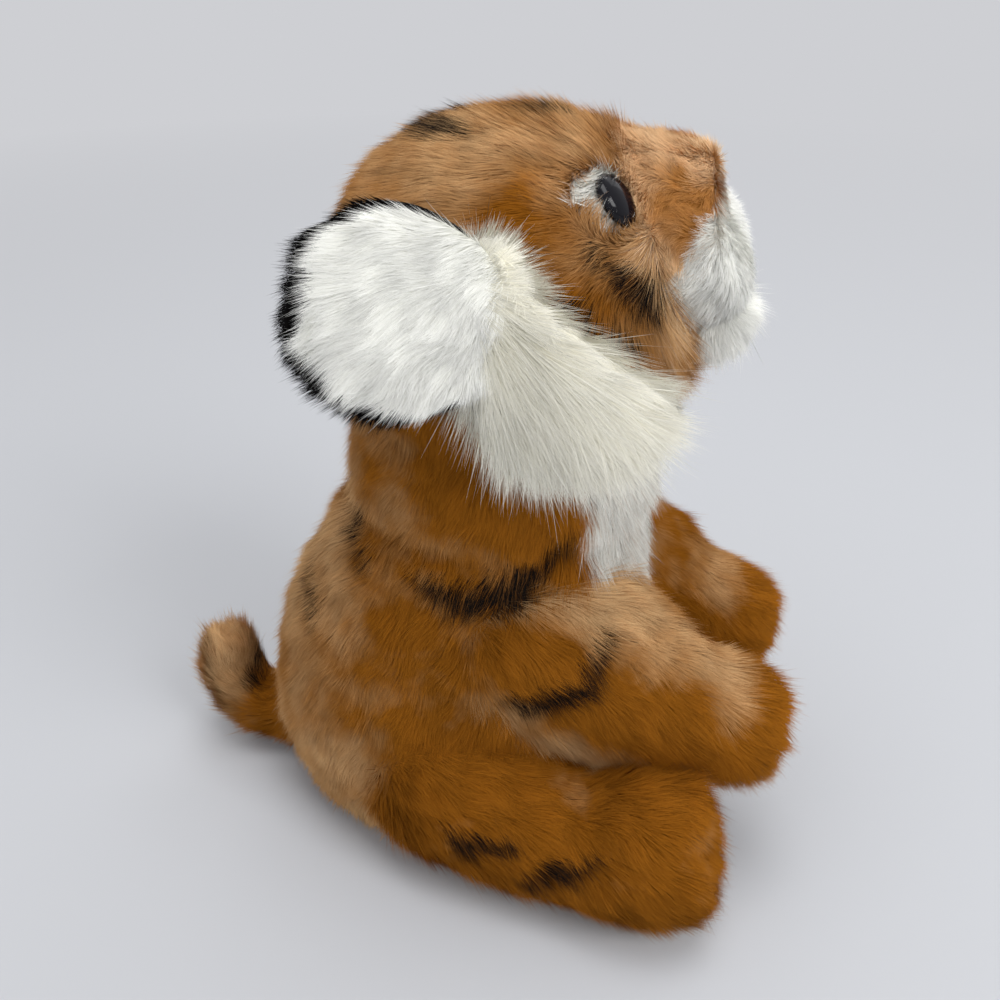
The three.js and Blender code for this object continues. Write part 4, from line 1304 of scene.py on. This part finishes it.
@dataclass(frozen=True)
class Forms:
    """Every stuffed form, worked out once, with those of the right side alone."""

    torso: Form = field(default_factory=torso_form)
    neck: Form = field(default_factory=neck_form)
    skull: Form = field(default_factory=skull_form)
    muzzle: Form = field(default_factory=muzzle_form)
    pad: Form = field(default_factory=pad_form)
    chin: Form = field(default_factory=chin_form)
    foreleg: Form = field(default_factory=foreleg_form)
    hind_leg: Form = field(default_factory=hind_leg_form)
    tail: Form = field(default_factory=tail_form)
    ruff: Form = field(default_factory=ruff_form)


@dataclass
class Piece:
    """What one sewn form needs to be dressed: its surface, its body, its finish and its pile.

    Light passes through such thin fibres, so only the cloth and the undercoat cast shadows.
    """

    name: str
    surface: Surface
    body: str
    finish: PileFinish
    pile: Pile
    replaces: tuple[str, ...]
    seed: int
    fill: float = 0.85

    def dress(self) -> None:
        """Makes the skin and its pile, and ties them to their body."""
        skin = surface_mesh(f"{self.name}_skin_cloth", self.surface)
        skin.data.materials.append(self.finish.material(backing=True))
        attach(skin, self.body)
        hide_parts(*self.replaces)
        thin, pile = 1.0, self.pile
        strands = Growth(self.surface, pile, np.random.default_rng(self.seed), thin).grow()
        under = np.arange(len(strands.points)) % 10 < 10 * pile.undercoat
        self.lay("undercoat", strands.taken(under))
        self.lay("pile", strands.taken(~under))

    def lay(self, coat: str, strands: Strands) -> None:
        """Makes a coat of strands, in groups by height that are small enough to export.

        Args:
            coat: its name. Only the undercoat casts shadows.
            strands: what it is made of.
        """
        n, faces = len(strands.points), 2 * self.pile.segments - 1
        groups = math.ceil(n * faces / MOST_FACES)
        order = np.argsort(strands.points[:, 0, 2], kind="stable")
        for k in range(groups):
            share = order[k * n // groups:(k + 1) * n // groups]
            obj = strands.taken(share).object(f"{self.name}_{coat}_{k + 1}")
            obj.data.materials.append(self.finish.material())
            obj.visible_shadow = coat == "undercoat"
            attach(obj, self.body)
        LOG.info("%s %s: %d strands in %d pieces", self.name, coat, n, groups)


def sheen_paleness(n: Array) -> Array:
    """How pale the pile is painted as sheen and highlight: little where it faces sideways, more in front,
    behind and above.
    """
    return 0.05 + 0.6 * smooth(0.92, 0.3, np.abs(n[..., 0]))


WHITE_EDGE, WHITE_TOP, WHITE_BEND = 67.5, 8.0, 0.05
CHEST_TOP, CHEST_HEIGHT, CHEST_HALF_WIDTH = 92.0, 48.0, 33.0


def muzzle_white(at: Array) -> Array:
    """Where the muzzle is white: ahead of a curve that runs from its top edge back to the cheek.

    Args:
        at: points of the muzzle.

    Returns:
        A share of white for each point.
    """
    _, forward, up = in_head(at)
    edge = WHITE_EDGE - WHITE_BEND * np.maximum(WHITE_TOP - up, 0) ** 2
    return smooth(-1.5, 1.5, forward - edge) * smooth(11, 7, up)


def chest_white(s: Surface) -> Array:
    """The white chest: an upright oval on the front, open towards the throat.

    Args:
        s: the surface to be coloured.

    Returns:
        A share of white for each point.
    """
    rise = np.maximum(CHEST_TOP - s.points[..., 2], 0) / CHEST_HEIGHT
    oval = np.hypot(s.points[..., 0] / CHEST_HALF_WIDTH, rise)
    return (1 - smooth(0.88, 1.04, oval)) * (s.normals()[..., 1] < -0.15)


@dataclass(frozen=True)
class Torso:
    """The body, with its white chest."""

    forms: Forms
    foreleg_seam: float = 22.0
    seam: float = 14.0
    dark: float = 0.24
    pale_back_sheen: Fade = Fade(-18, 36, 0.78)
    pale_foot: Fade = Fade(26, 6, 0.25)

    def build(self) -> None:
        """Swells the body towards its limbs, makes its back pale, partly as painted sheen, and makes its
        foot pale.
        """
        forelegs, hind_legs = both(self.forms.foreleg), both(self.forms.hind_leg)
        s = Surface(self.forms.torso.grid(92, 150, PILE_INSET))
        s.swell(self.foreleg_seam, *forelegs)
        s.swell(self.seam, *hind_legs, self.forms.neck)
        s.settle()
        s.brush(place(0, -0.3, -1))
        s.keep_clear(*forelegs, *hind_legs, self.forms.neck, self.forms.tail)
        s.shave(s.points[..., 2] < UNDERSIDE)
        white = chest_white(s)
        s.fields["white"] = white
        s.fields["stripe"] = striped(s.seen(BODY_PILE), TORSO_STRIPES + FORELEG_STRIPES) * (1 - white)
        _, back, up = np.moveaxis(s.points, -1, 0)
        # Paler towards the back: partly tan tips, partly painted sheen.
        s.fields["pale"] = -self.dark + self.pale_back_sheen.at(back) + self.pale_foot.at(up)
        nodes = ("torso_skin", "torso_filling", "pellet_bag", "chest_panel", "seat_panel")
        Piece("torso", s, "torso", GOLD, BODY_PILE, nodes, seed=11).dress()


@dataclass(frozen=True)
class Neck:
    """The neck, which turns on the body."""

    forms: Forms
    seam: float = 12.0
    dark: float = 0.1
    pale_back_sheen: Fade = Fade(-14, 30, 0.6)

    def build(self) -> None:
        """Swells the neck towards the body and the head."""
        s = Surface(self.forms.neck.grid(44, 130, PILE_INSET))
        s.swell(self.seam, self.forms.torso, self.forms.skull)
        s.brush(place(0, -0.2, -1))
        s.keep_clear(self.forms.torso, self.forms.skull)
        white = chest_white(s)
        s.fields["white"] = white
        s.fields["stripe"] = striped(s.seen(BODY_PILE), TORSO_STRIPES) * (1 - white)
        # Paler towards the back: partly tan tips, partly painted sheen.
        s.fields["pale"] = -self.dark + self.pale_back_sheen.at(s.points[..., 1])
        Piece("neck", s, "neck", GOLD, BODY_PILE, ("neck_collar", "neck_filling"), seed=12).dress()


@dataclass(frozen=True)
class Head:
    """The head, with its stripes, its fuller cheeks and the white fur round its eyes.

    The fades named after a gap run along the distance to the nearer eye.
    """

    forms: Forms
    pile: Pile = Pile(length=7.6)
    seam: float = 12.0
    comb_start: float = 110.0
    cheek_ahead: Fade = Fade(8, 30)
    cheek_below: Fade = Fade(2, -22)
    cheek_comb: float = 40.0
    cheek_way: Triple = (0.35, 0.5, -1.0)
    lid_gap: Fade = Fade(13, 9)
    lid_end: Fade = Fade(46, 40)
    lid_comb: float = 3.0
    upright_gap: Fade = Fade(15, 9, 0.6)
    short_gap: Fade = Fade(15, 8, 0.3)
    bare_gap: Fade = Fade(7.1, 6.3)
    stripe_gap: Fade = Fade(9.5, 12)
    rim_gap: float = 8.5
    rim_edge: Fade = Fade(0.4, -0.4, 1.6)
    rim_over: Fade = Fade(1, 7, 2.0)
    rim_end: Fade = Fade(43.5, 42.0)
    rim_start: Fade = Fade(-4, 0)
    rim_slope: float = 0.3
    lid_rise: float = 0.9
    longer_cheek: float = 0.3
    longer_lid: float = 0.15
    tan_white: float = 0.12
    painted_sheen_share: float = 0.8
    pale_cheek: float = 0.6

    def build(self) -> None:
        """Combs the fur back from the nose, down on the cheeks and towards the eyes, and paints it."""
        s = Surface(self.forms.skull.grid(84, 130, PILE_INSET))
        s.swell(self.seam, self.forms.muzzle, inset=SHORT_INSET)
        s.points = fuller_cheeks(s.points)
        _, forward, up = in_head(s.points)
        cheek = self.cheek_ahead.at(forward) * self.cheek_below.at(up)
        back = (s.points - head_place(0, self.comb_start, 0)) * (1 - cheek[..., None])
        way = unit(back + cheek[..., None] * self.cheek_comb * head_way(*self.cheek_way))
        to_eye = np.where(s.points[..., :1] > 0, eye_place() * MIRROR, eye_place()) - s.points
        gap = np.linalg.norm(to_eye, axis=-1)
        lid = self.lid_gap.at(gap) * self.lid_end.at(forward)
        s.brush(way + self.lid_comb * lid[..., None] * unit(to_eye))
        s.keep_clear(self.forms.muzzle, inset=SHORT_INSET)
        s.keep_clear(self.forms.neck)
        s.fields["upright"] = np.maximum(self.upright_gap.at(gap), self.lid_rise * lid)
        s.fields["bare"] = self.bare_gap.at(gap)
        longer = self.longer_cheek * cheek - self.short_gap.at(gap) + self.longer_lid * lid
        s.fields["length"] = 1 + longer
        self.paint(s, forward, up, gap, cheek)
        nodes = ("head_skin", "head_filling", "eye_patch_right", "eye_patch_left")
        Piece("head", s, "head", GOLD, self.pile, nodes, seed=13).dress()

    def paint(self, s: Surface, forward: Array, up: Array, gap: Array, cheek: Array) -> None:
        """Notes where the fur is striped, white or pale; painted sheen adds to the pale where the head
        faces forward, back or up.

        Args:
            s: the head's surface.
            forward: how far forward in the head its points lie.
            up: how far up in the head they lie.
            gap: how far they lie from the nearer eye.
            cheek: where the cheeks are.
        """
        seen = s.seen(BODY_PILE)
        _, eye_forward, eye_up = in_head(eye_place())
        over = self.rim_over.at(up - eye_up - self.rim_slope * (forward - eye_forward))
        rim = self.rim_edge.at(gap - self.rim_gap - over) * self.rim_end.at(forward) * self.rim_start.at(up)
        tan = striped(seen, CHEEK_TANS)
        s.fields["white"] = np.maximum(rim, self.tan_white * tan)
        s.fields["stripe"] = striped(seen, HEAD_STRIPES) * self.stripe_gap.at(gap)
        # Painted sheen: the pile is made paler where the head faces forward, back or up.
        edge = self.painted_sheen_share * sheen_paleness(s.normals())
        s.fields["pale"] = np.maximum.reduce([edge, self.pale_cheek * cheek, tan])


@dataclass(frozen=True)
class Muzzle:
    """The muzzle, its whisker pads and the chin, in short pile."""

    forms: Forms
    seam: float = 14.0
    lap: float = 1.0
    chin_inset: float = 3.0
    comb_start: Triple = (0.0, 105.0, 5.0)
    pad_comb_start: Triple = (0.0, 80.0, 0.0)
    chin_comb_start: Triple = (0.0, 60.0, 10.0)
    nose: Triple = (0.0, 65.0, 4.2)
    nose_gap: Fade = Fade(6.8, 5.4)
    behind: Fade = Fade(51, 47, 0.9)
    front: Fade = Fade(59, 64)
    above: Fade = Fade(5, 9)
    top: Fade = Fade(9, 15, 0.65)
    below: Fade = Fade(-4, -9, 0.9)
    plain: float = 0.05
    pad_pale: float = 0.3
    slope: float = 0.35
    slope_start: float = 4.0

    def build(self) -> None:
        """Makes the bridge, then both pads, then the chin."""
        self.build_bridge()
        for k, side in enumerate(Side):
            self.build_pad(side, 15 + k)
        self.build_chin()

    def build_bridge(self) -> None:
        """The brown form that carries the pads, bare where the nose sits."""
        s = Surface(self.forms.muzzle.grid(50, 96, SHORT_INSET))
        s.swell(self.seam, self.forms.skull)
        s.points = fuller_cheeks(s.points)
        s.brush(s.points - head_place(*self.comb_start))
        s.keep_clear(self.forms.skull, inset=PILE_INSET + self.lap)
        _, forward, up = in_head(s.points)
        s.fields["white"] = muzzle_white(s.points)
        s.fields["pale"] = np.maximum.reduce([
            self.behind.at(forward + self.slope * np.minimum(up - self.slope_start, 0)),
            self.front.at(forward) * self.above.at(up),
            self.plain + self.top.at(up),
            self.below.at(up),
        ])
        gap = np.linalg.norm(s.points - head_place(*self.nose), axis=-1)
        s.fields["bare"] = self.nose_gap.at(gap)
        Piece("muzzle", s, "head", BROWN, SHORT_PILE, ("muzzle",), seed=14).dress()

    def build_pad(self, side: Side, seed: int) -> None:
        """A white whisker pad, with its back edge as brown as the muzzle.

        Args:
            side: the side that it is on.
            seed: the seed of its pile.
        """
        s = Surface(side.of(self.forms.pad).grid(34, 56, SHORT_INSET))
        s.brush(s.points - head_place(*self.pad_comb_start) + 6 * DOWN)
        s.keep_clear(self.forms.muzzle, inset=SHORT_INSET + self.lap)
        s.keep_clear(self.forms.skull)
        s.fields["pale"] = np.full_like(s.cover, self.pad_pale)
        s.fields["stripe"] = 1 - muzzle_white(s.points)
        name = f"whisker_pad_{side.value}"
        Piece(name, s, "head", WHITE, SLEEK_PILE, (name,), seed).dress()

    def build_chin(self) -> None:
        """The chin, in longer fur."""
        s = Surface(self.forms.chin.grid(34, 56, CHIN_INSET))
        s.brush(s.points - head_place(*self.chin_comb_start) + 8 * DOWN)
        s.keep_clear(self.forms.muzzle, inset=SHORT_INSET + self.lap)
        s.keep_clear(*both(self.forms.pad), inset=self.chin_inset)
        s.keep_clear(self.forms.skull)
        Piece("chin", s, "head", WHITE, CHIN_PILE, ("chin",), seed=17).dress()


@dataclass(frozen=True)
class Leg:
    """A kind of leg, made for the right side and mirrored for the left."""

    forms: Forms
    name: str
    seam: float
    stripes: tuple[Stripe, ...]
    seed: int
    dark: float = 0.2
    down: float = 0.35
    dent_depth: float = 5.5
    dent_width: float = 4.5

    def pair(self) -> tuple[Form, Form]:
        """This leg's form and that of the leg that it lies against."""
        raise NotImplementedError

    def meet(self, s: Surface) -> None:
        """Swells the leg towards the body."""
        s.swell(self.seam, self.forms.torso)

    def paleness(self, s: Surface, side: Side) -> Array:
        """Where the leg of a side is pale."""
        raise NotImplementedError

    def build(self, side: Side) -> None:
        """Makes the leg of a side, with its toes' stitches drawn into the paw.

        Args:
            side: the side.
        """
        form, other = self.pair()
        name = f"{self.name}_{side.value}"
        s = Surface(form.grid(78, 84, PILE_INSET))
        self.meet(s)
        for which in ("inner", "outer"):
            thread = f"{self.name}_{which}_thread"
            s.dent(node_points(f"{thread}_right"), self.dent_depth, self.dent_width)
            sink_thread(f"{thread}_{side.value}", name, side.of(form))
        s.settle()
        s.brush(unit(form.centres[-1] - form.centres[0]) + self.down * DOWN)
        s.keep_clear(self.forms.torso, other)
        s.shave(s.points[..., 2] < UNDERSIDE)
        s.fields["stripe"] = striped(s.seen(BODY_PILE), self.stripes)
        s.fields["pale"] = self.paleness(s, side) - self.dark
        nodes = (f"{self.name}_skin_{side.value}", f"{self.name}_filling_{side.value}")
        seed = self.seed + 2 * (side is Side.LEFT)
        Piece(name, side.of(s), name, GOLD, BODY_PILE, nodes, seed).dress()


@dataclass(frozen=True)
class HindLeg(Leg):
    """A hind leg, stretched forward on the floor."""

    name: str = "hind_leg"
    seam: float = 14.0
    stripes: tuple[Stripe, ...] = HIND_LEG_STRIPES
    seed: int = 20
    low: Fade = Fade(18, 7, 0.8)

    def pair(self) -> tuple[Form, Form]:
        """The hind leg, and the foreleg on it."""
        return self.forms.hind_leg, self.forms.foreleg

    def paleness(self, s: Surface, side: Side) -> Array:
        """Pale near the floor."""
        return self.low.at(s.points[..., 2])


@dataclass(frozen=True)
class Foreleg(Leg):
    """A foreleg, which lies on the hind leg."""

    name: str = "foreleg"
    seam: float = 22.0
    stripes: tuple[Stripe, ...] = FORELEG_STRIPES + TORSO_STRIPES[:1]
    seed: int = 21
    lap: float = 8.0
    under: Fade = Fade(0.1, -0.5, 0.8)
    top: Fade = Fade(0.2, 0.8)
    inner: Fade = Fade(-54, -42)
    paw: Fade = Fade(-108, -95)
    left_highlight: float = 0.5
    right_highlight: float = 0.9

    def pair(self) -> tuple[Form, Form]:
        """The foreleg, and the hind leg under it."""
        return self.forms.foreleg, self.forms.hind_leg

    def meet(self, s: Surface) -> None:
        """Swells the leg towards the body and the hind leg."""
        super().meet(s)
        s.swell(self.lap, self.forms.hind_leg)

    def paleness(self, s: Surface, side: Side) -> Array:
        """Pale underneath, partly painted light that lifts the shade under the leg, and with a painted
        highlight along its inner edge on top, weaker on the left.
        """
        rise = s.normals()[..., 2]
        # Painted highlight on the top of the leg, near the body.
        inner = self.top.at(rise) * self.inner.at(s.points[..., 0]) * self.paw.at(s.points[..., 1])
        share = self.right_highlight if side is Side.RIGHT else self.left_highlight
        return np.maximum(inner * share, self.under.at(rise))


@dataclass(frozen=True)
class Legs:
    """Both forelegs and both hind legs."""

    forms: Forms

    def build(self) -> None:
        """Makes the legs of the right side, then those of the left."""
        for side in Side:
            Foreleg(self.forms).build(side)
            HindLeg(self.forms).build(side)


@dataclass(frozen=True)
class Tail:
    """The tail with its pale tip."""

    forms: Forms
    seam: float = 12.0
    dark: float = 0.1
    tip: Fade = Fade(68, 92)

    def build(self) -> None:
        """Combs the fur along the tail, from its root to its tip."""
        s = Surface(self.forms.tail.grid(60, 60, PILE_INSET))
        s.swell(self.seam, self.forms.torso)
        s.settle()
        s.brush(np.gradient(s.points, axis=0))
        s.keep_clear(self.forms.torso)
        s.fields["stripe"] = striped(s.seen(BODY_PILE), TAIL_STRIPES)
        s.fields["pale"] = self.tip.at(s.points[..., 1]) - self.dark
        nodes = ("tail_skin", "tail_filling", "tail_tip")
        Piece("tail", s, "tail", GOLD, BODY_PILE, nodes, seed=31).dress()


@dataclass(frozen=True)
class EarLayer:
    """One layer of both ears, with fur on the side that shows.

    The middle, thickness and rim are those of its form, and the shift moves it in the ear. The fur
    looks outward if the sign is 1 and inward if it is -1, and none grows where the surface faces
    that way by less than the bare limit. The top is the fur's share of length on the upper edge.
    """

    forms: Forms
    name: str
    finish: PileFinish
    pile: Pile
    seed: int
    middle: float
    rim: float
    shift: Array
    sign: int
    bare: float
    top: float
    thickness: float = 4.5
    comb_start: tuple[float, float] = (2.0, 12.0)
    shortest: float = 0.75
    growth: Fade = Fade(20, 55, 0.45)
    edge: Fade = Fade(0.55, 0.1)

    def build(self, side: Side) -> None:
        """Makes the layer of one side, with fur that is brushed away from the ear's root.

        Args:
            side: the side.
        """
        form = ear_form(self.middle, self.thickness, self.rim)
        s = Surface(form.grid(48, 72, 0) + self.shift)
        along, across = self.comb_start
        start = EAR_ROOT + EAR_ALONG * along + EAR_ACROSS * across
        s.brush(s.points - start + 14 * DOWN)
        s.keep_clear(self.forms.skull, inset=PILE_INSET + 1)
        s.shave(np.sum(s.normals() * EAR_FACING, -1) * self.sign < self.bare)
        away = np.linalg.norm(s.points - start, axis=-1)
        edge = self.top + (1 - self.top) * self.edge.at(s.normals()[..., 2])
        s.fields["length"] = (self.shortest + self.growth.at(away)) * edge
        s.fields["pale"] = np.zeros_like(away)
        name = f"{self.name}_{side.value}"
        seed = self.seed + (side is Side.LEFT)
        Piece(name, side.of(s), f"ear_{side.value}", self.finish, self.pile, (name,), seed).dress()


@dataclass(frozen=True)
class Ears:
    """Both ears, each a white layer in front of a black one."""

    forms: Forms

    def build(self) -> None:
        """Makes both layers of the right ear, then those of the left."""
        front = EarLayer(
            self.forms, "ear_front", WHITE, EAR_PILE, seed=41, middle=8.5, rim=8.5,
            shift=-3.0 * EAR_ALONG, sign=1, bare=-0.35, top=1.0,
        )
        back = EarLayer(
            self.forms, "ear_back", BLACK, EAR_BACK_PILE, seed=43, middle=5.2, rim=4.5,
            shift=2.5 * EAR_ALONG + 2 * DOWN, sign=-1, bare=-0.6, top=0.35,
        )
        for side in Side:
            front.build(side)
            back.build(side)


@dataclass(frozen=True)
class Ruffs:
    """Both long-haired cheek ruffs, whose strands fan out from under the ear."""

    forms: Forms
    fan: tuple[float, float] = (3.0, 10.0)
    fan_out: float = 50.0
    longest: float = 1.25
    cloth_end: float = 3.5
    pale_bearing: Fade = Fade(0.0, 0.5, 0.7)
    pale_away: Fade = Fade(14, 24)

    def gathered(self, points: Array) -> tuple[Array, Array, Array, Array]:
        """Draws the ruff's points in towards its fan point, so that the cloth ends before the tips do.

        Args:
            points: the ruff's points.

        Returns:
            The points, how far the tips reach there, and each point's bearing and distance.
        """
        _, forward, up = in_head(points)
        ahead, over = forward - self.fan[0], up - self.fan[1]
        bearing, away = np.arctan2(over, ahead), np.hypot(ahead, over)
        reach = np.interp(np.degrees(bearing), *np.array(RUFF_REACH).T)
        share = np.minimum(1, (reach - self.cloth_end) / np.maximum(away, 1))
        span = ahead[..., None] * head_way(0, 1, 0) + over[..., None] * head_way(0, 0, 1)
        return points + span * (share - 1)[..., None], reach, bearing, away * share

    def build(self) -> None:
        """Fans the strands out, each as long as its tip's reach allows."""
        s = Surface(self.forms.ruff.grid(64, 64, RUFF_INSET))
        s.points, reach, bearing, away = self.gathered(s.points)
        fanned = s.points - head_place(self.fan_out, *self.fan)
        s.brush(fanned / (1 + away[..., None]) + 0.08 * DOWN)
        s.keep_clear(self.forms.skull, inset=PILE_INSET + 1)
        s.keep_clear(self.forms.muzzle, inset=SHORT_INSET)
        s.fields["length"] = np.clip((reach + 3 - away) / (self.longest * RUFF_PILE.length), 0.2, 1)
        s.fields["pale"] = self.pale_bearing.at(bearing) * self.pale_away.at(away)
        for k, side in enumerate(Side):
            name = f"cheek_ruff_{side.value}"
            Piece(name, side.of(s), "head", IVORY, RUFF_PILE, (name,), seed=51 + k).dress()


# Eyes and nose


def on_head(obj: Object, material: Material, node: str) -> None:
    """Ties a hard piece to the head, in place of a packed one.

    Args:
        obj: the piece.
        material: its finish.
        node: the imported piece.
    """
    obj.data.materials.append(material)
    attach(obj, "head")
    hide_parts(node)


@dataclass(frozen=True)
class Eyes:
    """The two glossy eyes, each a dome over a flat back."""

    diameter: float = 16.0
    dome: float = 3.8
    back: float = 2.5
    sunk: float = 1.8
    ahead: float = 2.3
    way: Triple = (0.15, 0.94, 0.29)

    def material(self) -> Material:
        """Black plastic, polished, a little brown in its depth."""
        g = Graph.start("polished_eye")
        colour = g.mix(g.noise(240, 2), linear(8, 8, 12), linear(22, 20, 26))
        g.surface(colour, Roughness=0.1, Specular_IOR_Level=0.22)
        return g.owner

    def build(self) -> None:
        """Turns the dome's outline about the way that the eye looks."""
        mat = self.material()
        turn = (np.arange(64) / 64 * 2 * math.pi)[None, :, None]
        angle = np.linspace(0, math.pi, 33)[:, None, None]
        radius = self.diameter / 2 * np.sin(angle)
        height = np.where(angle < math.pi / 2, self.dome, self.back) * np.cos(angle)
        way = unit(head_way(*self.way))
        across = unit(SIDEWAYS - way * (SIDEWAYS @ way))
        ring = np.cos(turn) * across + np.sin(turn) * np.cross(way, across)
        middle = eye_place() - way * self.sunk + head_way(0, 1, 0) * self.ahead
        surface = Surface(middle + ring * radius + way * height)
        for side in Side:
            obj = surface_mesh(f"eye_dome_{side.value}", side.of(surface))
            on_head(obj, mat, f"eye_{side.value}")
        LOG.info("eyes: two domes")


@dataclass(frozen=True)
class Nose:
    """The felt nose and the stitched mouth."""

    halves: Triple = (7.6, 4.6, 5.6)
    middle: Triple = (0.0, 63.7, 3.6)
    flare: float = 0.25

    def material(self) -> Material:
        """Brown felt."""
        g = Graph.start("nose_felt_finish")
        g.surface(g.mix(g.noise(600, 4), linear(104, 66, 54), linear(142, 96, 80)), Roughness=0.75)
        g.bump(g.noise(1800, 3), 0.0003)
        return g.owner

    def build(self) -> None:
        """A soft rounded triangle of felt between the whisker pads, and the mouth's thread."""
        turn = np.arange(48) / 48 * 2 * math.pi
        angle = np.linspace(0, math.pi, 25)[:, None]
        up = np.cos(turn) * np.sin(angle)
        right = np.sin(turn) * np.sin(angle) * (1 + self.flare * up)
        forward = np.cos(angle) + 0 * turn
        ways = np.array([head_way(1, 0, 0), head_way(0, 1, 0), head_way(0, 0, 1)])
        points = head_place(*self.middle) + np.stack([right, forward, up], -1) * self.halves @ ways
        obj = surface_mesh("nose_felt", Surface(points))
        on_head(obj, self.material(), "nose")
        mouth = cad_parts["mouth_thread"].data
        mouth.materials.clear()
        mouth.materials.append(thread_finish("dark_stitch", (44, 36, 34)))
        LOG.info("nose and mouth: felt and thread")


# The room

WALL = linear(206, 207, 211)
TIGER_MIDDLE = np.array([0, -0.01, 0.13])


def aimed(name: str, data: bpy.types.ID, where: Sequence[float], look: Array) -> Object:
    """A lamp or camera at a place, in metres, that looks along a direction.

    Args:
        name: the object's name.
        data: the lamp's or camera's own data.
        where: its place.
        look: the direction.

    Returns:
        The object.
    """
    obj = bpy.data.objects.new(name, data)
    bpy.context.scene.collection.objects.link(obj)
    obj.location = where
    obj.rotation_mode = "QUATERNION"
    obj.rotation_quaternion = Vector(look).to_track_quat("-Z", "Y")
    return obj


@dataclass(frozen=True)
class Lamp:
    """A square soft lamp that looks at the tiger, its size in metres and its power in watts."""

    name: str
    where: Triple
    size: float
    power: float

    def build(self) -> None:
        """Hangs the lamp."""
        data = bpy.data.lights.new(self.name, "AREA")
        data.size, data.energy = self.size, self.power
        aimed(self.name, data, self.where, TIGER_MIDDLE - np.array(self.where))


@dataclass(frozen=True)
class Room:
    """A pale floor under a wall's colour all round, soft lamps, and the camera of the photograph.

    Lengths are in metres. The fade is how far off the floor starts and ends to take the wall's
    colour, and the focal length is in picture widths.
    """

    reach: float = 6.0
    floor: float = -0.0004
    fade: tuple[float, float] = (0.35, 1.3)
    lamps: tuple[Lamp, ...] = (
        Lamp("window", (-0.8, -1.2, 1.4), 0.8, 15),
        Lamp("ceiling", (-0.1, -0.1, 1.9), 0.9, 12),
        Lamp("fill", (-1.2, 1.2, 0.8), 1.2, 3),
        Lamp("far_side", (1.4, -0.4, 0.9), 1.2, 3),
    )
    camera: Triple = (-0.310, -0.068, 0.311)
    turn: float = math.radians(9)
    tilt: float = math.radians(-31.1)
    focal: float = 1.057
    light: tuple[float, float, float, float] = (0.9, 0.9, 0.92, 1)
    brightness: float = 0.58

    def floor_finish(self) -> Material:
        """A pale matt floor that fades into the wall's colour with distance, as the camera sees it."""
        g = Graph.start("pale_floor")
        g.surface(linear(200, 202, 206), Roughness=0.9, Specular_IOR_Level=0.2)
        far = g.add("VectorMath", {0: g.place()}, "Value", operation="LENGTH")
        fade = g.math("MULTIPLY", g.remap(far, self.fade, (0, 1)), g.ray("Camera"))
        glow = g.add("Emission", {"Color": WALL})
        g.feed(g.nodes["Material Output"].inputs[0], g.mix_shaders(fade, g.shader.outputs[0], glow))
        return g.owner

    def build_world(self) -> None:
        """Pale light from all round, which shows as the wall's colour where it is seen."""
        world = bpy.data.worlds.new("room")
        bpy.context.scene.world = world
        g = Graph.of(world, "Background")
        g.feed(g.shader.inputs["Color"], self.light)
        g.feed(g.shader.inputs["Strength"], self.brightness)
        wall = g.add("Background", {"Color": WALL})
        seen = g.math("MAXIMUM", g.math("MAXIMUM", g.ray("Camera"), g.ray("Glossy")), g.ray("Transmission"))
        g.feed(g.nodes["World Output"].inputs[0], g.mix_shaders(seen, g.shader.outputs[0], wall))

    def build_floor(self) -> None:
        """A square floor, just below the seat."""
        mesh = bpy.data.meshes.new("floor")
        corners = np.array([[-1, -1, 1], [1, -1, 1], [1, 1, 1], [-1, 1, 1]])
        fill_mesh(mesh, corners * [self.reach, self.reach, self.floor], np.arange(4), np.array([4]))
        floor = add_object("floor", mesh)
        floor.data.materials.append(self.floor_finish())

    def build(self) -> None:
        """Sets the whole scene round the tiger."""
        scene = bpy.context.scene
        scene.view_settings.view_transform = "Standard"
        self.build_world()
        self.build_floor()
        for lamp in self.lamps:
            lamp.build()
        data = bpy.data.cameras.new("view")
        data.sensor_width = 36
        data.lens = self.focal * data.sensor_width
        data.clip_start, data.clip_end = 0.01, 50
        flat = math.cos(self.tilt)
        look = (math.cos(self.turn) * flat, math.sin(self.turn) * flat, math.sin(self.tilt))
        scene.camera = aimed("view", data, self.camera, look)


def main() -> None:
    """Builds the toy in order."""
    logging.basicConfig(level=logging.INFO, format="%(message)s")
    forms = Forms()
    for made in (Torso, Neck, Head, Muzzle, Legs, Tail, Ears, Ruffs):
        made(forms).build()
    for other in (Eyes(), Nose(), Room()):
        other.build()


if __name__ == "__main__":
    main()
